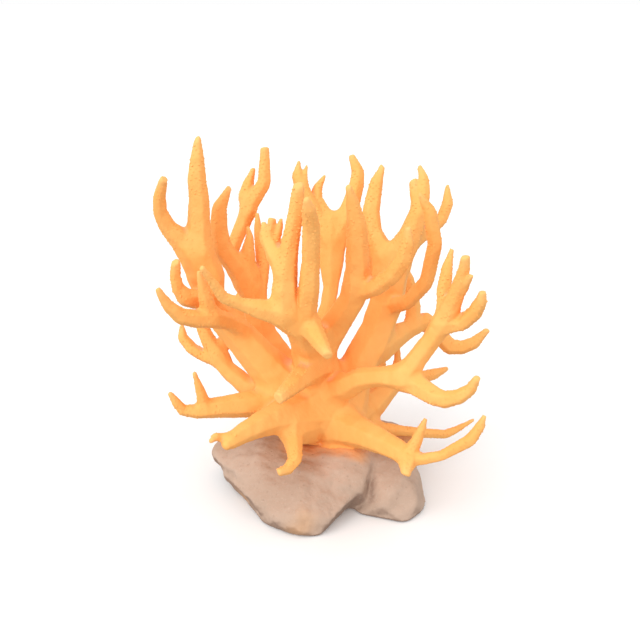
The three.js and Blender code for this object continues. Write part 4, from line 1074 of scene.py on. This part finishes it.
class CORAL_OT_colony(bpy.types.Operator):
    """Grow the colony: one skin over all the stems, shared out between the branches, with its
    corallites"""

    bl_idname = "coral.colony"
    bl_label = "Grow Colony"

    def execute(self, context):
        look = context.scene.coral_colony
        colony = Shared.coral()
        grid = colony.grid
        corners, quads = grid.surface()
        corners = smoothed(corners, quads, 2)
        normals = corner_normals(corners, quads)
        lumps = waves(corners, 11.0, 21) + 0.4 * waves(corners, 5.0, 22)
        corners += normals * (look.swell * 0.6 * lumps)[:, None]
        normals = corner_normals(corners, quads)
        tip = np.exp(-np.maximum(grid.read(colony.to_tip, corners), 0.0) / TIP_FADE)
        # Painted shade: how closed-in each corner is, used to deepen the colour in forks and hollows.
        hollow_shade = hollow_of(grid, corners, normals, (5.0, 10.0))
        # Painted light: fork insides that face up, used to pale the colour there.
        web = (np.clip(hollow_of(grid, corners, normals, (3.0, 6.0)), 0.0, 1.0)
               * np.clip(normals[:, 2], 0.0, 1.0))
        centres = corners[quads].mean(axis=1)
        owner = grid.nearest(colony.owner, centres).astype(int)
        owner = settled_owners(owner, quads)
        owner = without_islands(owner, quads)
        cup = self.corallites(look, colony)
        material = coral_material(look)
        for number, node in enumerate(colony.nodes):
            mine = quads[owner == number]
            if not len(mine):
                raise RuntimeError(f"no skin for {node}")
            used, local, middles, caps = closed_piece(corners, normals, mine)
            start = len(used) + len(middles)
            cup_corners, cup_quads, cup_tris, cup_rim, cup_normals, cup_tip = cup(number)
            inward = np.tile((0.0, 0.0, -1.0), (len(middles), 1))
            marks = {
                "tip": np.concatenate([tip[used], np.zeros(len(middles)), cup_tip]),
                "hollow_shade": np.concatenate([hollow_shade[used], np.zeros(len(middles) + len(cup_tip))]),
                "web": np.concatenate([web[used], np.zeros(len(middles) + len(cup_tip))]),
                "rim": np.concatenate([np.zeros(start), cup_rim]),
            }
            faces = [local, caps, cup_quads + start, cup_tris + start]
            put_mesh(f"{node}_skin", np.vstack([corners[used], middles, cup_corners]),
                     [f for f in faces if len(f)], np.vstack([normals[used], inward, cup_normals]),
                     marks, material, node)
        return {"FINISHED"}

    @staticmethod
    def corallites(look, colony):
        """Cups over all the stems: sparse and flat near the foot, closer and taller toward the
        tips, leaning the way the stem grows. Gives a function from branch number to its cups."""
        grid = colony.grid
        rng = np.random.default_rng(7)
        spots = cup_places(colony, look.cup_spacing * (1.0))
        place, way, to_tip, thick = spots[:, :3], spots[:, 3:6], spots[:, 6], spots[:, 7]
        nearest_tip = grid.nearest(colony.to_tip, place)
        chance = np.clip(1.2 - to_tip / 260.0, 0, 1)
        keep = (np.abs(nearest_tip - to_tip) < 6.0) & (rng.random(len(place)) < chance)
        place, way, to_tip, thick = place[keep], way[keep], to_tip[keep], thick[keep]
        out = grid.slope(place)
        axis = out + way * (0.25 + 0.35 * np.exp(-to_tip / 25.0))[:, None]
        axis /= np.linalg.norm(axis, axis=1)[:, None]
        size = look.cup_size * np.clip(0.45 + 0.11 * thick, 0.55, 1.0) * rng.uniform(0.82, 1.12, len(place))
        sunk = 0.16 + 0.12 * np.clip(to_tip / 120.0, 0.0, 1.0)
        place = place - out * (size * sunk)[:, None]
        corners, quads, tris, rim, per = cups(place, axis, size)
        normals = face_normals(corners, quads, tris)
        owner = grid.nearest(colony.owner, place)
        tip = np.repeat(np.exp(-to_tip / TIP_FADE), per)
        per_quads, per_tris = len(quads) // len(place), len(tris) // len(place)

        def of_branch(number):
            mine = np.flatnonzero(owner == number)
            new = np.full(len(place), -1)
            new[mine] = np.arange(len(mine))
            rows = (mine[:, None] * per + np.arange(per)).ravel()
            shift = np.repeat((np.arange(len(mine)) - mine) * per, 1)
            q = quads.reshape(len(place), per_quads, 4)[mine] + shift[:, None, None]
            t = tris.reshape(len(place), per_tris, 3)[mine] + shift[:, None, None]
            return corners[rows], q.reshape(-1, 4), t.reshape(-1, 3), rim[rows], normals[rows], tip[rows]

        return of_branch


def face_normals(corners, quads, tris):
    """Unit normals at the corners: cross products of the quads' diagonals and of the triangles'
    sides, added up."""
    total = np.zeros_like(corners)
    cross = np.cross(corners[quads[:, 2]] - corners[quads[:, 0]],
                     corners[quads[:, 3]] - corners[quads[:, 1]])
    flat = np.cross(corners[tris[:, 1]] - corners[tris[:, 0]], corners[tris[:, 2]] - corners[tris[:, 0]])
    for axis in range(3):
        for k in range(4):
            total[:, axis] += np.bincount(quads[:, k], cross[:, axis], len(corners))
        for k in range(3):
            total[:, axis] += np.bincount(tris[:, k], flat[:, axis], len(corners))
    return total / np.maximum(np.linalg.norm(total, axis=1), 1e-12)[:, None]


class CORAL_OT_stage(bpy.types.Operator):
    """Set the camera, the soft light and the floor"""

    bl_idname = "coral.stage"
    bl_label = "Set Stage"

    def execute(self, context):
        look = context.scene.coral_stage
        scene = context.scene
        scene.view_settings.view_transform = "Standard"
        camera = bpy.data.objects.new("camera", bpy.data.cameras.new("camera"))
        camera.data.lens = look.lens
        target = Vector(look.target)
        away = Vector((0.0, -math.cos(look.elevation), math.sin(look.elevation)))
        camera.location = target + away * look.distance
        camera.rotation_euler = (-away).to_track_quat("-Z", "Y").to_euler()
        scene.collection.objects.link(camera)
        scene.camera = camera

        world = bpy.data.worlds.new("studio")
        world.use_nodes = True
        nodes, links = world.node_tree.nodes, world.node_tree.links
        sky = nodes["Background"]
        sky.inputs["Color"].default_value = (1.0, 1.0, 1.0, 1.0)
        way, height, fade = (nodes.new("ShaderNode" + kind)
                             for kind in ("TexCoord", "SeparateXYZ", "MapRange"))
        links.new(way.outputs["Generated"], height.inputs[0])
        links.new(height.outputs["Z"], fade.inputs["Value"])
        for name, value in (("From Min", -0.7), ("From Max", 0.0), ("To Min", look.under),
                            ("To Max", look.sky)):
            fade.inputs[name].default_value = value
        links.new(fade.outputs["Result"], sky.inputs["Strength"])
        scene.world = world

        light = bpy.data.lights.new("key", "SUN")
        light.energy, light.angle = look.key, KEY_ANGLE
        lamp = bpy.data.objects.new("key", light)
        lamp.location = KEY_PLACE
        lamp.rotation_euler = (target - lamp.location).to_track_quat("-Z", "Y").to_euler()
        scene.collection.objects.link(lamp)

        mesh = bpy.data.meshes.new("floor")
        mesh.from_pydata([(x * FLOOR_HALF, y * FLOOR_HALF, -FLOOR_DROP)
                          for x, y in ((-1, -1), (1, -1), (1, 1), (-1, 1))], [], [(0, 1, 2, 3)])
        paint = Paint("pale_floor")
        speck = paint.noise(60.0, 2.0)
        colour = paint.mix(speck * 0.1, look.floor, tuple(c * 0.98 for c in look.floor))
        mesh.materials.append(paint.finish(colour, paint.spread(speck, 0.3, 0.7, 0.9, 0.95),
                                           paint.bump(speck, 0.05, 0.1)))
        floor = bpy.data.objects.new("floor", mesh)
        scene.collection.objects.link(floor)
        floor.visible_diffuse = False
        return {"FINISHED"}


class CORAL_PT_panel(bpy.types.Panel):
    """The colony's settings and steps"""

    bl_idname = "CORAL_PT_panel"
    bl_label = "Coral"
    bl_space_type = "VIEW_3D"
    bl_region_type = "UI"
    bl_category = "Coral"

    def draw(self, context):
        for step, settings in (("coral.stone", context.scene.coral_stone),
                               ("coral.colony", context.scene.coral_colony),
                               ("coral.stage", context.scene.coral_stage)):
            box = self.layout.box()
            box.operator(step)
            for name in settings.__annotations__:
                box.prop(settings, name)


CLASSES = (CORAL_PG_stone, CORAL_PG_colony, CORAL_PG_stage, CORAL_OT_stone, CORAL_OT_colony,
           CORAL_OT_stage, CORAL_PT_panel)


def register():
    """Registers the classes and hangs the settings on the scene."""
    for cls in CLASSES:
        bpy.utils.register_class(cls)
    bpy.types.Scene.coral_stone = bpy.props.PointerProperty(type=CORAL_PG_stone)
    bpy.types.Scene.coral_colony = bpy.props.PointerProperty(type=CORAL_PG_colony)
    bpy.types.Scene.coral_stage = bpy.props.PointerProperty(type=CORAL_PG_stage)


def unregister():
    """Takes them away again."""
    del bpy.types.Scene.coral_stage
    del bpy.types.Scene.coral_colony
    del bpy.types.Scene.coral_stone
    for cls in reversed(CLASSES):
        bpy.utils.unregister_class(cls)


def main():
    """Makes the pieces and the stage."""
    register()
    bpy.ops.coral.stone()
    bpy.ops.coral.colony()
    bpy.ops.coral.stage()


if __name__ == "__main__":
    main()
